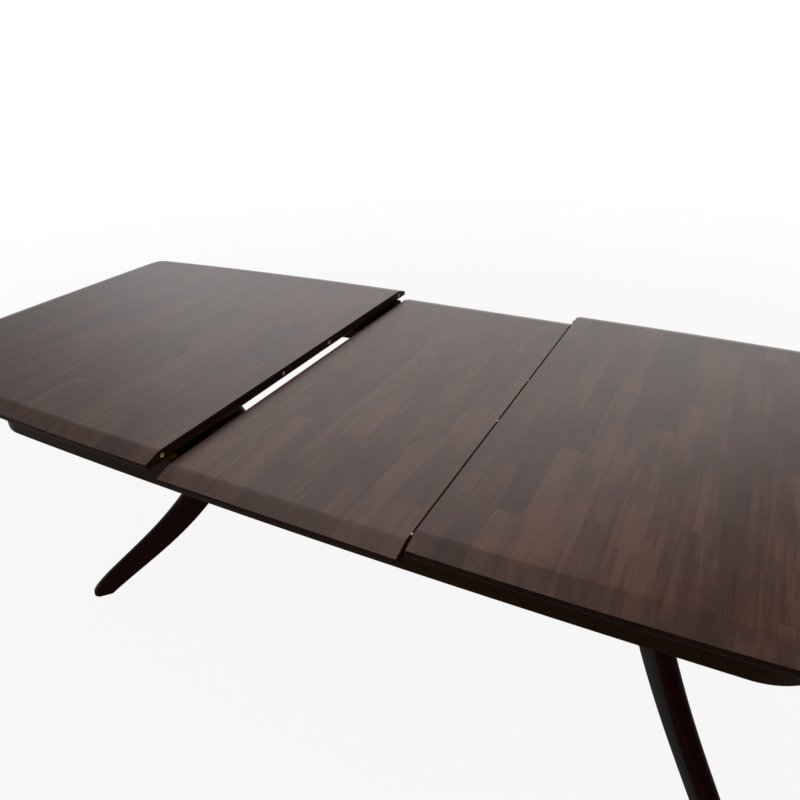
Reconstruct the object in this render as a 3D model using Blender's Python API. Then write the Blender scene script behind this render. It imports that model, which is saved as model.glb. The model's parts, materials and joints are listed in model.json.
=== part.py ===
"""Extending double-pedestal dining table, shown pulled open with its centre leaf lying low.

Metres, +Z up. The origin is on the floor under the middle of the table, +X runs along the table to
the right-hand top and +Y to the rear. Two tops slide along X over a fixed base. The leaf lies in a
notch of the base, just below the tops, so that the tops can close over it.
"""

import math

import bpy
import bmesh
from mathutils import Matrix, Vector

# Driving dimensions: tops and leaf
TABLE_HEIGHT = 0.750
TABLE_WIDTH = 1.067
TOP_LENGTH = 0.989
TOP_THICKNESS = 0.023
SIDE_BOW = 0.0508
END_BOW = 0.005
CORNER_RADIUS = 0.038
BEVEL_WIDTH = 0.053
BEVEL_DROP = 0.0115
BEVEL_CORNER_RADIUS = 0.010
LEAF_LENGTH = 0.5136
LEAF_THICKNESS = 0.0235
LEAF_GAP = 0.0145
LEAF_SHIFT = 0.0015
LEAF_UNDER_TOPS = 0.0017
BATTEN_WIDTH = 0.040
BATTEN_DEPTH = 0.020
BATTEN_SPACING = 0.300
BATTEN_CLEARANCE = 0.015

# Driving dimensions: locating pins and their bushes in the seam edges
PIN_RADIUS = 0.0045
PIN_STANDOUT = 0.0095
PIN_IN_WOOD = 0.022
PIN_TIP = 0.004
PIN_FROM_SIDE = 0.041
PIN_MIDDLE_SPACING = 0.200
PIN_CLEARANCE = 0.0004
BUSH_WALL = 0.0014
BUSH_DEPTH = 0.014

# Driving dimensions: base frame
APRON_LENGTH = 1.760
APRON_INSET = 0.0465
APRON_BOW = 0.0186
APRON_DEPTH = 0.075
APRON_THICKNESS = 0.022
APRON_CORNER_RADIUS = 0.120
NOTCH_CLEARANCE = 0.004
GUIDE_FROM_CORNER = 0.013
GUIDE_WIDTH = 0.030
GUIDE_DEPTH = 0.034
GROOVE_HEIGHT = 0.012
GROOVE_DEPTH = 0.010
BEARER_LENGTH = 0.800
BEARER_THICKNESS = 0.016
BEAM_DEPTH = 0.045
BEAM_WIDTH = 0.090
BEAM_END_DEPTH = 0.022
BEAM_TAPER_LENGTH = 0.160

# Driving dimensions: runners under the tops
RUNNER_WIDTH = 0.034
RUNNER_DEPTH = 0.028
RUNNER_LENGTH = 0.780
RUNNER_FROM_SEAM = 0.020
RUNNER_LEAF_CLEARANCE = 0.0025
RUNNER_STEP_CLEARANCE = 0.020
RUNNER_PASSAGE_CLEARANCE = 0.002
STOP_LENGTH = 0.040
STOP_WIDTH = 0.020

# Driving dimensions: pedestals, legs and glides
PEDESTAL_SPACING = 1.122
COLLAR_RADIUS = 0.060
COLLAR_DEPTH = 0.014
NECK_RADIUS = 0.030
NECK_HEIGHT = 0.550
HUB_RADIUS = 0.064
HUB_SHOULDER_RADIUS = 0.056
HUB_TOP = 0.458
HUB_BOTTOM = 0.262
BEAD_SIZE = 0.005
DROP_RADIUS = 0.030
DROP_LENGTH = 0.062
LEG_SPLAY_DEG = 48.9
LEG_REACH = 0.471
LEG_WIDTH = 0.045
LEG_TOP_DEPTH = 0.080
LEG_FOOT_DEPTH = 0.042
LEG_JOINT_HEIGHT = 0.367
LEG_ANKLE_HEIGHT = 0.008
LEG_SAG = 0.0333
LEG_SWAY = 0.0952
LEG_TOE_SETBACK = 0.0186
LEG_TOE_RUN = 0.040
LEG_TOE_RISE = 0.0075
LEG_HOUSING_DEPTH = 0.012
LEG_EDGE_ROUND = 0.005
GLIDE_RADIUS = 0.014
GLIDE_THICKNESS = 0.004
GLIDE_FROM_TOE = 0.026

# Clearances between pieces that touch, and between pieces that slide
SEAT = 0.0003
SLIDING = 0.0003

# Heights and places worked out from the driving dimensions
HALF_WIDTH = TABLE_WIDTH / 2
SEAM_X = LEAF_LENGTH / 2 + LEAF_GAP
TOP_UNDERSIDE = TABLE_HEIGHT - TOP_THICKNESS
LEAF_TOP = TOP_UNDERSIDE - LEAF_UNDER_TOPS
LEAF_UNDERSIDE = LEAF_TOP - LEAF_THICKNESS
LEAF_BED = LEAF_UNDERSIDE - SEAT
APRON_TOP = TOP_UNDERSIDE - SLIDING
APRON_BOTTOM = APRON_TOP - APRON_DEPTH
APRON_SIDE_Y = HALF_WIDTH - APRON_INSET
APRON_END_X = APRON_LENGTH / 2
APRON_BOW_RATE = APRON_BOW / APRON_END_X ** 2
APRON_CORNER_X = APRON_END_X - APRON_CORNER_RADIUS
APRON_CORNER_Y = APRON_SIDE_Y - APRON_BOW_RATE * APRON_CORNER_X ** 2 - APRON_CORNER_RADIUS
GUIDE_OFFSET = APRON_CORNER_Y - GUIDE_FROM_CORNER - GUIDE_WIDTH
GUIDE_BOTTOM = LEAF_BED - GUIDE_DEPTH
GUIDE_END_X = APRON_END_X - APRON_THICKNESS - SEAT
RUNNER_TOP = LEAF_UNDERSIDE - RUNNER_LEAF_CLEARANCE
RUNNER_BOTTOM = RUNNER_TOP - RUNNER_DEPTH
RUNNER_MIDDLE = (RUNNER_TOP + RUNNER_BOTTOM) / 2
RUNNER_OUTER_Y = GUIDE_OFFSET - SLIDING
RUNNER_INNER_Y = RUNNER_OUTER_Y - RUNNER_WIDTH
TONGUE_Y = GUIDE_OFFSET + GROOVE_DEPTH - SLIDING
TONGUE_HEIGHT = GROOVE_HEIGHT - 2 * SLIDING
RUNNER_STEP = LEAF_LENGTH / 2 + PIN_STANDOUT + RUNNER_STEP_CLEARANCE
RUNNER_END = RUNNER_FROM_SEAM + RUNNER_LENGTH
STOP_INNER_Y = RUNNER_INNER_Y - SEAT - STOP_WIDTH
BEAM_TOP = min(GUIDE_BOTTOM - SEAT, RUNNER_BOTTOM - SLIDING)
BEAM_BOTTOM = BEAM_TOP - BEAM_DEPTH
PEDESTAL_X = PEDESTAL_SPACING / 2
COLUMN_TOP = BEAM_BOTTOM - SEAT
HUB_FLAT = HUB_RADIUS - LEG_HOUSING_DEPTH
PIN_BELOW_FACE = TOP_THICKNESS / 2
PIN_ROWS = (PIN_FROM_SIDE - HALF_WIDTH, -PIN_MIDDLE_SPACING / 2,
            PIN_MIDDLE_SPACING / 2, HALF_WIDTH - PIN_FROM_SIDE)
BUSH_BORE_RADIUS = PIN_RADIUS + PIN_CLEARANCE
BUSH_RADIUS = BUSH_BORE_RADIUS + BUSH_WALL

# How finely curves are divided, the angle past which an edge stays crisp, the share of its length that
# a leg's centre line runs on before it is cut off, and how far a cutter stands past what it cuts
BOW_STEPS = 12
CORNER_STEPS = 6
END_STEPS = 6
PIN_STEPS = 16
TURNED_STEPS = 32
OGEE_STEPS = 7
LEG_STEPS = 20
TOE_STEPS = 4
BEAD_STEPS = 4
DROP_STEPS = 4
NOSE_STEPS = 3
CREASE_DEG = 35.0
LEG_RUN_ON = 0.25
OVERCUT = 0.02

SIDES = {"front": -1, "rear": 1}
ENDS = {"left": math.pi, "right": 0.0}

FINISHES = {
    "stained_top": ((0.060, 0.026, 0.014), 0.32, 0.0),
    "stained_apron": ((0.034, 0.020, 0.010), 0.38, 0.0),
    "stained_leg": ((0.022, 0.009, 0.006), 0.28, 0.0),
    "waxed_slide": ((0.050, 0.028, 0.016), 0.55, 0.0),
    "brass": ((0.780, 0.610, 0.340), 0.28, 1.0),
    "glide": ((0.030, 0.027, 0.025), 0.80, 0.0),
}


def clear_scene():
    """Empty the scene of whatever it holds."""
    for old in list(bpy.data.objects):
        bpy.data.objects.remove(old, do_unlink=True)


def finish(name):
    """Return the named finish as a Principled material, making it once."""
    known = bpy.data.materials.get(name)
    if known:
        return known
    colour, roughness, metallic = FINISHES[name]
    made = bpy.data.materials.new(name)
    made.use_nodes = True
    shader = made.node_tree.nodes["Principled BSDF"]
    shader.inputs["Base Color"].default_value = (*colour, 1.0)
    shader.inputs["Roughness"].default_value = roughness
    shader.inputs["Metallic"].default_value = metallic
    made.diffuse_color = (*colour, 1.0)
    return made


def carrier(name, place, turn=0.0):
    """Add an empty that a group of pieces hangs from."""
    made = bpy.data.objects.new(name, None)
    made.location = place
    made.rotation_euler = (0, 0, turn)
    bpy.context.collection.objects.link(made)
    return made


def add(name, bm, finish_name, parent, turn=0.0):
    """Make a named object of a bmesh, hung from its parent and turned about the parent's Z."""
    bmesh.ops.recalc_face_normals(bm, faces=bm.faces)
    mesh = bpy.data.meshes.new(name)
    bm.to_mesh(mesh)
    bm.free()
    mesh.materials.append(finish(finish_name))
    made = bpy.data.objects.new(name, mesh)
    made.rotation_euler = (0, 0, turn)
    made.parent = parent
    bpy.context.collection.objects.link(made)
    return made


def smooth(made):
    """Shade a round piece smooth and keep its corners crisp."""
    made.data.shade_smooth()
    made.data.set_sharp_from_angle(angle=math.radians(CREASE_DEG))


def cut(host, name, bm):
    """Take a shape, given in the host's own frame, out of the host."""
    tool = add(name, bm, "stained_apron", host)
    tool.hide_render = True
    tool.display_type = "WIRE"
    modifier = host.modifiers.new(name, "BOOLEAN")
    modifier.operation = "DIFFERENCE"
    modifier.solver = "EXACT"
    modifier.object = tool


def round_edges(made, width, segments=2):
    """Ease the edges of a sawn piece."""
    modifier = made.modifiers.new("eased_edges", "BEVEL")
    modifier.width = width
    modifier.segments = segments
    modifier.limit_method = "ANGLE"
    modifier.angle_limit = math.radians(CREASE_DEG)


def sweep(outline, levels, place):
    """Carry a closed outline through several levels and close both ends.

    place(point, level) gives the position of an outline point at a level.
    """
    bm = bmesh.new()
    rings = [[bm.verts.new(place(point, level)) for point in outline] for level in levels]
    for lower, upper in zip(rings, rings[1:]):
        for index, corner in enumerate(lower):
            after = (index + 1) % len(lower)
            bm.faces.new((corner, lower[after], upper[after], upper[index]))
    bm.faces.new(rings[0])
    bm.faces.new(rings[-1])
    return bm


def prism_z(outline, low, high):
    """Extrude an outline in X and Y between two heights."""
    return sweep(outline, (low, high), lambda point, level: (point[0], point[1], level))


def prism_x(outline, *levels):
    """Extrude an outline in Y and Z through places along X."""
    return sweep(outline, levels, lambda point, level: (level, point[0], point[1]))


def prism_y(outline, low, high):
    """Extrude an outline in X and Z between two places along Y."""
    return sweep(outline, (low, high), lambda point, level: (point[0], level, point[1]))


def block(x_range, y_range, z_range):
    """A square-edged block between three pairs of limits."""
    left, right = x_range
    near, far = y_range
    return prism_z([(left, near), (right, near), (right, far), (left, far)], *z_range)


def turned(profile, steps=TURNED_STEPS, ring=False):
    """Turn a profile of (radius, height) points about Z; a ring profile closes on itself."""
    bm = bmesh.new()
    angles = [2 * math.pi * step / steps for step in range(steps)]
    loops = []
    for radius, height in profile:
        if radius == 0:
            loops.append([bm.verts.new((0, 0, height))])
        else:
            loops.append([bm.verts.new((radius * math.cos(a), radius * math.sin(a), height)) for a in angles])
    pairs = list(zip(loops, loops[1:]))
    if ring:
        pairs.append((loops[-1], loops[0]))
    for upper, lower in pairs:
        for step in range(steps):
            after = step + 1
            corners = [upper[step % len(upper)], lower[step % len(lower)],
                       lower[after % len(lower)], upper[after % len(upper)]]
            bm.faces.new(list(dict.fromkeys(corners)))
    if not ring:
        for loop in (loops[0], loops[-1]):
            if len(loop) > 1:
                bm.faces.new(loop)
    return bm


def laid_along_x(bm, centre):
    """Lay a turned shape down, its height becoming +X, and carry it to a centre."""
    bmesh.ops.transform(bm, matrix=Matrix.Rotation(math.pi / 2, 4, "Y"), verts=bm.verts)
    bmesh.ops.translate(bm, vec=Vector(centre), verts=bm.verts)
    return bm


def ogee(upper, lower):
    """Points of an S-curve between two (radius, height) points, without the first one."""
    points = []
    for step in range(1, OGEE_STEPS + 1):
        share = step / OGEE_STEPS
        wave = (1 - math.cos(math.pi * share)) / 2
        points.append((upper[0] + (lower[0] - upper[0]) * wave, upper[1] + (lower[1] - upper[1]) * share))
    return points


def side_bow(x):
    """How far the long side of a top has drawn in at a distance x from its seam."""
    return SIDE_BOW * (x / TOP_LENGTH) ** 2


def apron_side(x, offset=0.0):
    """A point of the apron's bowed side at a distance x from the middle, drawn in by an offset."""
    slope = 2 * APRON_BOW_RATE * x
    stretch = math.hypot(slope, 1)
    return x - offset * slope / stretch, APRON_SIDE_Y - APRON_BOW_RATE * x * x - offset / stretch


def top_outline(inset, corner_radius):
    """Outline of a top, its seam edge at x = 0 and its other edges drawn in by an inset.

    It runs along the bowed front side, round the corner, across the bowed end and back at the rear.
    """
    end_x = TOP_LENGTH - END_BOW - inset
    corner_x = end_x - corner_radius
    corner_y = HALF_WIDTH - inset - side_bow(corner_x) - corner_radius
    front = []
    for step in range(BOW_STEPS):
        x = corner_x * step / BOW_STEPS
        front.append((x, side_bow(x) + inset - HALF_WIDTH))
    for step in range(CORNER_STEPS + 1):
        angle = math.pi / 2 * step / CORNER_STEPS
        front.append((corner_x + corner_radius * math.sin(angle),
                      -corner_y - corner_radius * math.cos(angle)))
    across = []
    for step in range(1, END_STEPS):
        share = 2 * step / END_STEPS - 1
        across.append((end_x + END_BOW * (1 - share ** 2), corner_y * share))
    rear = [(x, -y) for x, y in reversed(front)]
    return front + across + rear


def bevelled_board(face_line, edge_line, thickness):
    """A board with a shallow bevel between a line on its face, at z = 0, and its outer edge."""
    bm = bmesh.new()
    levels = ((face_line, 0.0), (edge_line, -BEVEL_DROP), (edge_line, -thickness))
    loops = [[bm.verts.new((x, y, z)) for x, y in line] for line, z in levels]
    for upper, lower in zip(loops, loops[1:]):
        for index, corner in enumerate(upper):
            after = (index + 1) % len(upper)
            bm.faces.new((corner, lower[index], lower[after], upper[after]))
    bm.faces.new(loops[0])
    bm.faces.new(loops[-1])
    return bm


def drill_edge(board, fitting, edge_x, inward, radius, depth):
    """Drill the row of blind holes for the pins or the bushes into an edge of a board."""
    for row, y in enumerate(PIN_ROWS, start=1):
        profile = ((radius + SEAT, -inward * OVERCUT), (radius + SEAT, inward * (depth + SEAT)))
        shape = laid_along_x(turned(profile, PIN_STEPS), (edge_x, y, -PIN_BELOW_FACE))
        cut(board, f"{board.name}_{fitting}_hole_{row}", shape)


def add_pins(label, parent, edge_x):
    """Round-nosed brass pins, let into an edge and standing out of it towards -X."""
    profile = [(PIN_RADIUS, PIN_IN_WOOD)]
    for step in range(NOSE_STEPS):
        angle = math.pi / 2 * step / NOSE_STEPS
        profile.append((PIN_RADIUS * math.cos(angle), PIN_TIP * (1 - math.sin(angle)) - PIN_STANDOUT))
    profile.append((0, -PIN_STANDOUT))
    for row, y in enumerate(PIN_ROWS, start=1):
        shape = laid_along_x(turned(profile, PIN_STEPS), (edge_x, y, -PIN_BELOW_FACE))
        smooth(add(f"{label}_pin_{row}", shape, "brass", parent))


def add_bushes(label, parent, edge_x, inward):
    """Brass bushes, flush in an edge, that take the pins of the board they meet."""
    profile = ((BUSH_RADIUS, 0), (BUSH_RADIUS, inward * BUSH_DEPTH),
               (BUSH_BORE_RADIUS, inward * BUSH_DEPTH), (BUSH_BORE_RADIUS, 0))
    for row, y in enumerate(PIN_ROWS, start=1):
        shape = laid_along_x(turned(profile, PIN_STEPS, ring=True), (edge_x, y, -PIN_BELOW_FACE))
        smooth(add(f"{label}_bush_{row}", shape, "brass", parent))


def add_top(end, parent):
    """One sliding top: bowed sides and end, a wide bevel round three edges, a square seam edge."""
    shape = bevelled_board(top_outline(BEVEL_WIDTH, BEVEL_CORNER_RADIUS),
                           top_outline(0.0, CORNER_RADIUS), TOP_THICKNESS)
    return add(f"{end}_top", shape, "stained_top", parent)


def add_leaf(parent):
    """The centre leaf with bevelled front and rear edges, its pins, bushes and battens."""
    half = LEAF_LENGTH / 2
    lines = []
    for inset in (BEVEL_WIDTH, 0.0):
        y = HALF_WIDTH - inset
        lines.append([(-half, -y), (half, -y), (half, y), (-half, y)])
    leaf = add("centre_leaf", bevelled_board(*lines, LEAF_THICKNESS), "stained_top", parent)
    drill_edge(leaf, "pin", -half, 1, PIN_RADIUS, PIN_IN_WOOD)
    drill_edge(leaf, "bush", half, -1, BUSH_RADIUS, BUSH_DEPTH)
    add_pins("leaf", parent, -half)
    add_bushes("leaf", parent, half, -1)
    length = STOP_INNER_Y - BATTEN_CLEARANCE
    high = -LEAF_THICKNESS - SEAT
    for name, x in (("left", -BATTEN_SPACING / 2), ("right", BATTEN_SPACING / 2)):
        shape = block((x - BATTEN_WIDTH / 2, x + BATTEN_WIDTH / 2), (-length, length),
                      (high - BATTEN_DEPTH, high))
        add(f"leaf_batten_{name}", shape, "waxed_slide", parent)


def add_runner(end, side, parent):
    """A stepped runner under a top, with a tongue that rides in the guide's groove, and its stop.

    The deep part is screwed to the top. The shallow part reaches inwards below the leaf.
    """
    facing = SIDES[side] if end == "right" else -SIDES[side]
    low = RUNNER_BOTTOM - TABLE_HEIGHT
    high = RUNNER_TOP - TABLE_HEIGHT
    middle = RUNNER_MIDDLE - TABLE_HEIGHT
    section = [(RUNNER_INNER_Y, low), (RUNNER_OUTER_Y, low),
               (RUNNER_OUTER_Y, middle - TONGUE_HEIGHT / 2), (TONGUE_Y, middle - TONGUE_HEIGHT / 2),
               (TONGUE_Y, middle + TONGUE_HEIGHT / 2), (RUNNER_OUTER_Y, middle + TONGUE_HEIGHT / 2),
               (RUNNER_OUTER_Y, high), (RUNNER_INNER_Y, high)]
    shape = prism_x([(facing * y, z) for y, z in section], RUNNER_FROM_SEAM, RUNNER_STEP, RUNNER_END)
    shelf = max((face for face in shape.faces if face.calc_center_median().x > RUNNER_STEP),
                key=lambda face: face.calc_center_median().z)
    raised = bmesh.ops.extrude_face_region(shape, geom=[shelf])["geom"]
    lift = -TOP_THICKNESS - SEAT - high
    corners = [item for item in raised if isinstance(item, bmesh.types.BMVert)]
    bmesh.ops.translate(shape, vec=(0, 0, lift), verts=corners)
    bmesh.ops.delete(shape, geom=[shelf], context="FACES_ONLY")
    add(f"runner_{end}_{side}", shape, "waxed_slide", parent)
    stop_x = GUIDE_END_X - SEAM_X
    ys = sorted((facing * STOP_INNER_Y, facing * (RUNNER_INNER_Y - SEAT)))
    add(f"stop_{end}_{side}", block((stop_x - STOP_LENGTH, stop_x), ys, (low, high)), "waxed_slide", parent)


def apron_path(offset):
    """Plan of an apron rail from end to end, drawn in from its outer face by an offset."""
    radius = APRON_CORNER_RADIUS - offset
    half = []
    for step in range(CORNER_STEPS):
        angle = math.pi / 2 * step / CORNER_STEPS
        half.append((APRON_CORNER_X + radius * math.cos(angle), APRON_CORNER_Y + radius * math.sin(angle)))
    for step in range(BOW_STEPS):
        half.append(apron_side(APRON_CORNER_X * (1 - step / BOW_STEPS), offset))
    return half + [apron_side(0.0, offset)] + [(-x, y) for x, y in reversed(half)]


def add_apron(parent):
    """The frame under the tops: two bowed side rails with round corners and two end rails."""
    outline = apron_path(0.0) + apron_path(APRON_THICKNESS)[::-1]
    notch = LEAF_LENGTH / 2 + NOTCH_CLEARANCE
    for side, facing in SIDES.items():
        shape = prism_z([(x, facing * y) for x, y in outline], APRON_BOTTOM, APRON_TOP)
        rail = add(f"apron_{side}_rail", shape, "stained_apron", parent)
        ys = sorted((facing * (APRON_SIDE_Y + OVERCUT), facing * (APRON_SIDE_Y - APRON_THICKNESS - OVERCUT)))
        cut(rail, f"leaf_notch_{side}", block((-notch, notch), ys, (LEAF_BED, APRON_TOP + OVERCUT)))
    end_y = APRON_CORNER_Y - SEAT
    passage = (RUNNER_INNER_Y - RUNNER_PASSAGE_CLEARANCE, TONGUE_Y + RUNNER_PASSAGE_CLEARANCE)
    for end, turn in ENDS.items():
        shape = block((APRON_END_X - APRON_THICKNESS, APRON_END_X), (-end_y, end_y),
                      (APRON_BOTTOM, APRON_TOP))
        rail = add(f"apron_{end}_rail", shape, "stained_apron", parent, turn)
        for side, facing in SIDES.items():
            ys = sorted(facing * y for y in passage)
            opening = block((APRON_END_X - APRON_THICKNESS - OVERCUT, APRON_END_X + OVERCUT), ys,
                            (RUNNER_BOTTOM - RUNNER_PASSAGE_CLEARANCE, APRON_TOP + OVERCUT))
            cut(rail, f"runner_passage_{end}_{side}", opening)


def add_guides(parent):
    """Two grooved guides along the frame, which carry the runners' tongues and bear the leaf."""
    outer = GUIDE_OFFSET + GUIDE_WIDTH
    groove = GUIDE_OFFSET + GROOVE_DEPTH
    low = RUNNER_MIDDLE - GROOVE_HEIGHT / 2
    high = RUNNER_MIDDLE + GROOVE_HEIGHT / 2
    section = [(GUIDE_OFFSET, GUIDE_BOTTOM), (outer, GUIDE_BOTTOM), (outer, LEAF_BED),
               (GUIDE_OFFSET, LEAF_BED), (GUIDE_OFFSET, high), (groove, high), (groove, low),
               (GUIDE_OFFSET, low)]
    for side, facing in SIDES.items():
        shape = prism_x([(facing * y, z) for y, z in section], -GUIDE_END_X, GUIDE_END_X)
        add(f"guide_{side}", shape, "waxed_slide", parent)


def add_bearers(parent):
    """Two flat bearers across the middle of the frame, which tie the guides to the side rails."""
    half = BEARER_LENGTH / 2
    inner = GUIDE_OFFSET + GUIDE_WIDTH + SEAT
    outer = apron_side(half, APRON_THICKNESS)[1] - SEAT
    for side, facing in SIDES.items():
        ys = sorted((facing * inner, facing * outer))
        shape = block((-half, half), ys, (GUIDE_BOTTOM, GUIDE_BOTTOM + BEARER_THICKNESS))
        add(f"bearer_{side}", shape, "stained_apron", parent)


def add_beam(end, parent):
    """The head beam across a pedestal, tapered below towards its ends, which carries the frame."""
    far_x = PEDESTAL_X + BEAM_WIDTH / 2
    end_y = apron_side(far_x, APRON_THICKNESS)[1] - SEAT
    taper_y = end_y - BEAM_TAPER_LENGTH
    end_bottom = BEAM_TOP - BEAM_END_DEPTH
    section = [(-end_y, BEAM_TOP), (-end_y, end_bottom), (-taper_y, BEAM_BOTTOM), (taper_y, BEAM_BOTTOM),
               (end_y, end_bottom), (end_y, BEAM_TOP)]
    shape = prism_x(section, PEDESTAL_X - BEAM_WIDTH / 2, far_x)
    add(f"head_beam_{end}", shape, "stained_leg", parent, ENDS[end])


def leg_outline(grow=0.0):
    """Side outline of a sabre leg, or of its housing when grown: distance from the axis, and height.

    The centre line sags below its chord from the column to the ankle as a parabola, sways about it as
    a cubic, and is carried on past both ends. The leg's depth narrows along it. The outline is cut off
    at the hub, the toe and the floor, and the toe is rounded.
    """
    start = Vector((HUB_FLAT + SEAT, LEG_JOINT_HEIGHT))
    stop = Vector((LEG_REACH - LEG_TOE_SETBACK, LEG_ANKLE_HEIGHT))
    chord = stop - start
    upper = []
    lower = []
    for step in range(LEG_STEPS + 1):
        share = (1 + 2 * LEG_RUN_ON) * step / LEG_STEPS - LEG_RUN_ON
        dip = share * (1 - share) * (4 * LEG_SAG + LEG_SWAY * (1 - 2 * share))
        fall = 4 * LEG_SAG * (1 - 2 * share) + LEG_SWAY * (1 - 6 * share + 6 * share ** 2)
        centre = start + chord * share - Vector((0, dip))
        along = (chord - Vector((0, fall))).normalized()
        depth = LEG_TOP_DEPTH + (LEG_FOOT_DEPTH - LEG_TOP_DEPTH) * share
        across = Vector((-along.y, along.x)) * (depth / 2 + grow)
        upper.append(centre + across)
        lower.append(centre - across)
    outline = upper + lower[::-1]
    outline = keep_side(outline, 0, start.x - grow, 1)
    outline = keep_side(outline, 0, LEG_REACH, -1)
    return round_toe(keep_side(outline, 1, GLIDE_THICKNESS + SEAT, 1))


def round_toe(outline):
    """Round the corner of a leg's upper edge and its toe, from a run up the edge to a rise off the floor."""
    brow = max((point for point in outline if LEG_REACH - point.x < SEAT), key=lambda point: point.y)
    low = Vector((LEG_REACH, GLIDE_THICKNESS + SEAT + LEG_TOE_RISE))
    rounded = []
    for point in outline:
        if point == brow:
            first = rounded[-1]
            for step in range(1, TOE_STEPS + 1):
                share = step / TOE_STEPS
                rounded.append(first.lerp(brow, share).lerp(brow.lerp(low, share), share))
        elif point.y < brow.y or (point - brow).length > LEG_TOE_RUN:
            rounded.append(point)
    return rounded


def keep_side(outline, axis, limit, sign):
    """Cut an outline along a line square to an axis and keep the side that the sign points to."""
    kept = []
    for index, point in enumerate(outline):
        before = outline[index - 1]
        inside = sign * (point[axis] - limit) >= 0
        was_inside = sign * (before[axis] - limit) >= 0
        if inside != was_inside:
            share = (limit - before[axis]) / (point[axis] - before[axis])
            kept.append(before + (point - before) * share)
        if inside:
            kept.append(point)
    return kept


def bead(radius, height):
    """A half-round bead that stands out from a radius, centred on a height, from its top down."""
    angles = [math.pi * (0.5 - step / BEAD_STEPS) for step in range(BEAD_STEPS + 1)]
    return [(radius + BEAD_SIZE * math.cos(a), height + BEAD_SIZE * math.sin(a)) for a in angles]


def column_profile():
    """Profile of a column from its top down: collar, neck, beaded barrel hub and a turned drop."""
    collar_bottom = COLUMN_TOP - COLLAR_DEPTH
    profile = [(COLLAR_RADIUS, COLUMN_TOP), (COLLAR_RADIUS, collar_bottom),
               (COLLAR_RADIUS - BEAD_SIZE, collar_bottom)]
    profile += ogee(profile[-1], (NECK_RADIUS, NECK_HEIGHT))
    profile += ogee((NECK_RADIUS, NECK_HEIGHT), (HUB_SHOULDER_RADIUS, HUB_TOP + 2 * BEAD_SIZE))
    profile += bead(HUB_SHOULDER_RADIUS, HUB_TOP)
    low = HUB_BOTTOM + BEAD_SIZE
    high = HUB_TOP - BEAD_SIZE
    for step in range(1, OGEE_STEPS):
        share = step / OGEE_STEPS
        swell = (HUB_RADIUS - HUB_SHOULDER_RADIUS) * math.sin(math.pi * share)
        profile.append((HUB_SHOULDER_RADIUS + swell, high + (low - high) * share))
    profile += bead(HUB_SHOULDER_RADIUS, HUB_BOTTOM)
    drop_top = HUB_BOTTOM - BEAD_SIZE
    drop_middle = drop_top - DROP_LENGTH / 2
    profile += ogee((HUB_SHOULDER_RADIUS - BEAD_SIZE, drop_top), (DROP_RADIUS, drop_middle))
    for step in range(1, DROP_STEPS):
        angle = math.pi / 2 * step / DROP_STEPS
        profile.append((DROP_RADIUS * math.cos(angle), drop_middle - DROP_LENGTH / 2 * math.sin(angle)))
    profile.append((0, drop_top - DROP_LENGTH))
    return profile


def add_pedestal(end, parent):
    """A turned column with housings for two sabre legs that splay towards the end of the table."""
    axis = carrier(f"pedestal_{end}", (PEDESTAL_X * math.cos(ENDS[end]), 0, 0), ENDS[end])
    axis.parent = parent
    column = add(f"column_{end}", turned(column_profile()), "stained_leg", axis)
    smooth(column)
    outline = leg_outline()
    housing_outline = keep_side(leg_outline(SEAT), 0, HUB_RADIUS + OVERCUT, -1)
    half = LEG_WIDTH / 2
    for side, facing in SIDES.items():
        angle = facing * math.radians(LEG_SPLAY_DEG) * math.cos(ENDS[end])
        housing = prism_y(housing_outline, -half - SEAT, half + SEAT)
        bmesh.ops.rotate(housing, cent=(0, 0, 0), matrix=Matrix.Rotation(angle, 3, "Z"), verts=housing.verts)
        cut(column, f"leg_housing_{end}_{side}", housing)
        leg = add(f"leg_{end}_{side}", prism_y(outline, -half, half), "stained_leg", axis, angle)
        round_edges(leg, LEG_EDGE_ROUND)
        glide = turned(((GLIDE_RADIUS, GLIDE_THICKNESS), (GLIDE_RADIUS, 0)), PIN_STEPS)
        bmesh.ops.translate(glide, vec=(LEG_REACH - GLIDE_FROM_TOE, 0, 0), verts=glide.verts)
        add(f"glide_{end}_{side}", glide, "glide", axis, angle)


def main():
    """Build the table with its tops open and its leaf at rest on the base."""
    clear_scene()
    base = carrier("base", (0, 0, 0))
    add_apron(base)
    add_guides(base)
    add_bearers(base)
    for end, turn in ENDS.items():
        add_beam(end, base)
        add_pedestal(end, base)
        slide = carrier(f"{end}_slide", (SEAM_X * math.cos(turn), 0, TABLE_HEIGHT), turn)
        top = add_top(end, slide)
        for side in SIDES:
            add_runner(end, side, slide)
        if end == "right":
            drill_edge(top, "pin", 0.0, 1, PIN_RADIUS, PIN_IN_WOOD)
            add_pins("right_top", slide, 0.0)
        else:
            drill_edge(top, "bush", 0.0, 1, BUSH_RADIUS, BUSH_DEPTH)
            add_bushes("left_top", slide, 0.0, 1)
    add_leaf(carrier("leaf_lift", (LEAF_SHIFT, 0, LEAF_TOP)))


main()
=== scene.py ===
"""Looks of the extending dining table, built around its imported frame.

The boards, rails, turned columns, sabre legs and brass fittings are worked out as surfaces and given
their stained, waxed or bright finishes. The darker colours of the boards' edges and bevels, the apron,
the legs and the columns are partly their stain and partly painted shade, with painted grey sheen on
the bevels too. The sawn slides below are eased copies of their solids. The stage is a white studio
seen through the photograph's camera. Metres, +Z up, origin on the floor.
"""

import json
import math
from contextlib import contextmanager

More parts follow.
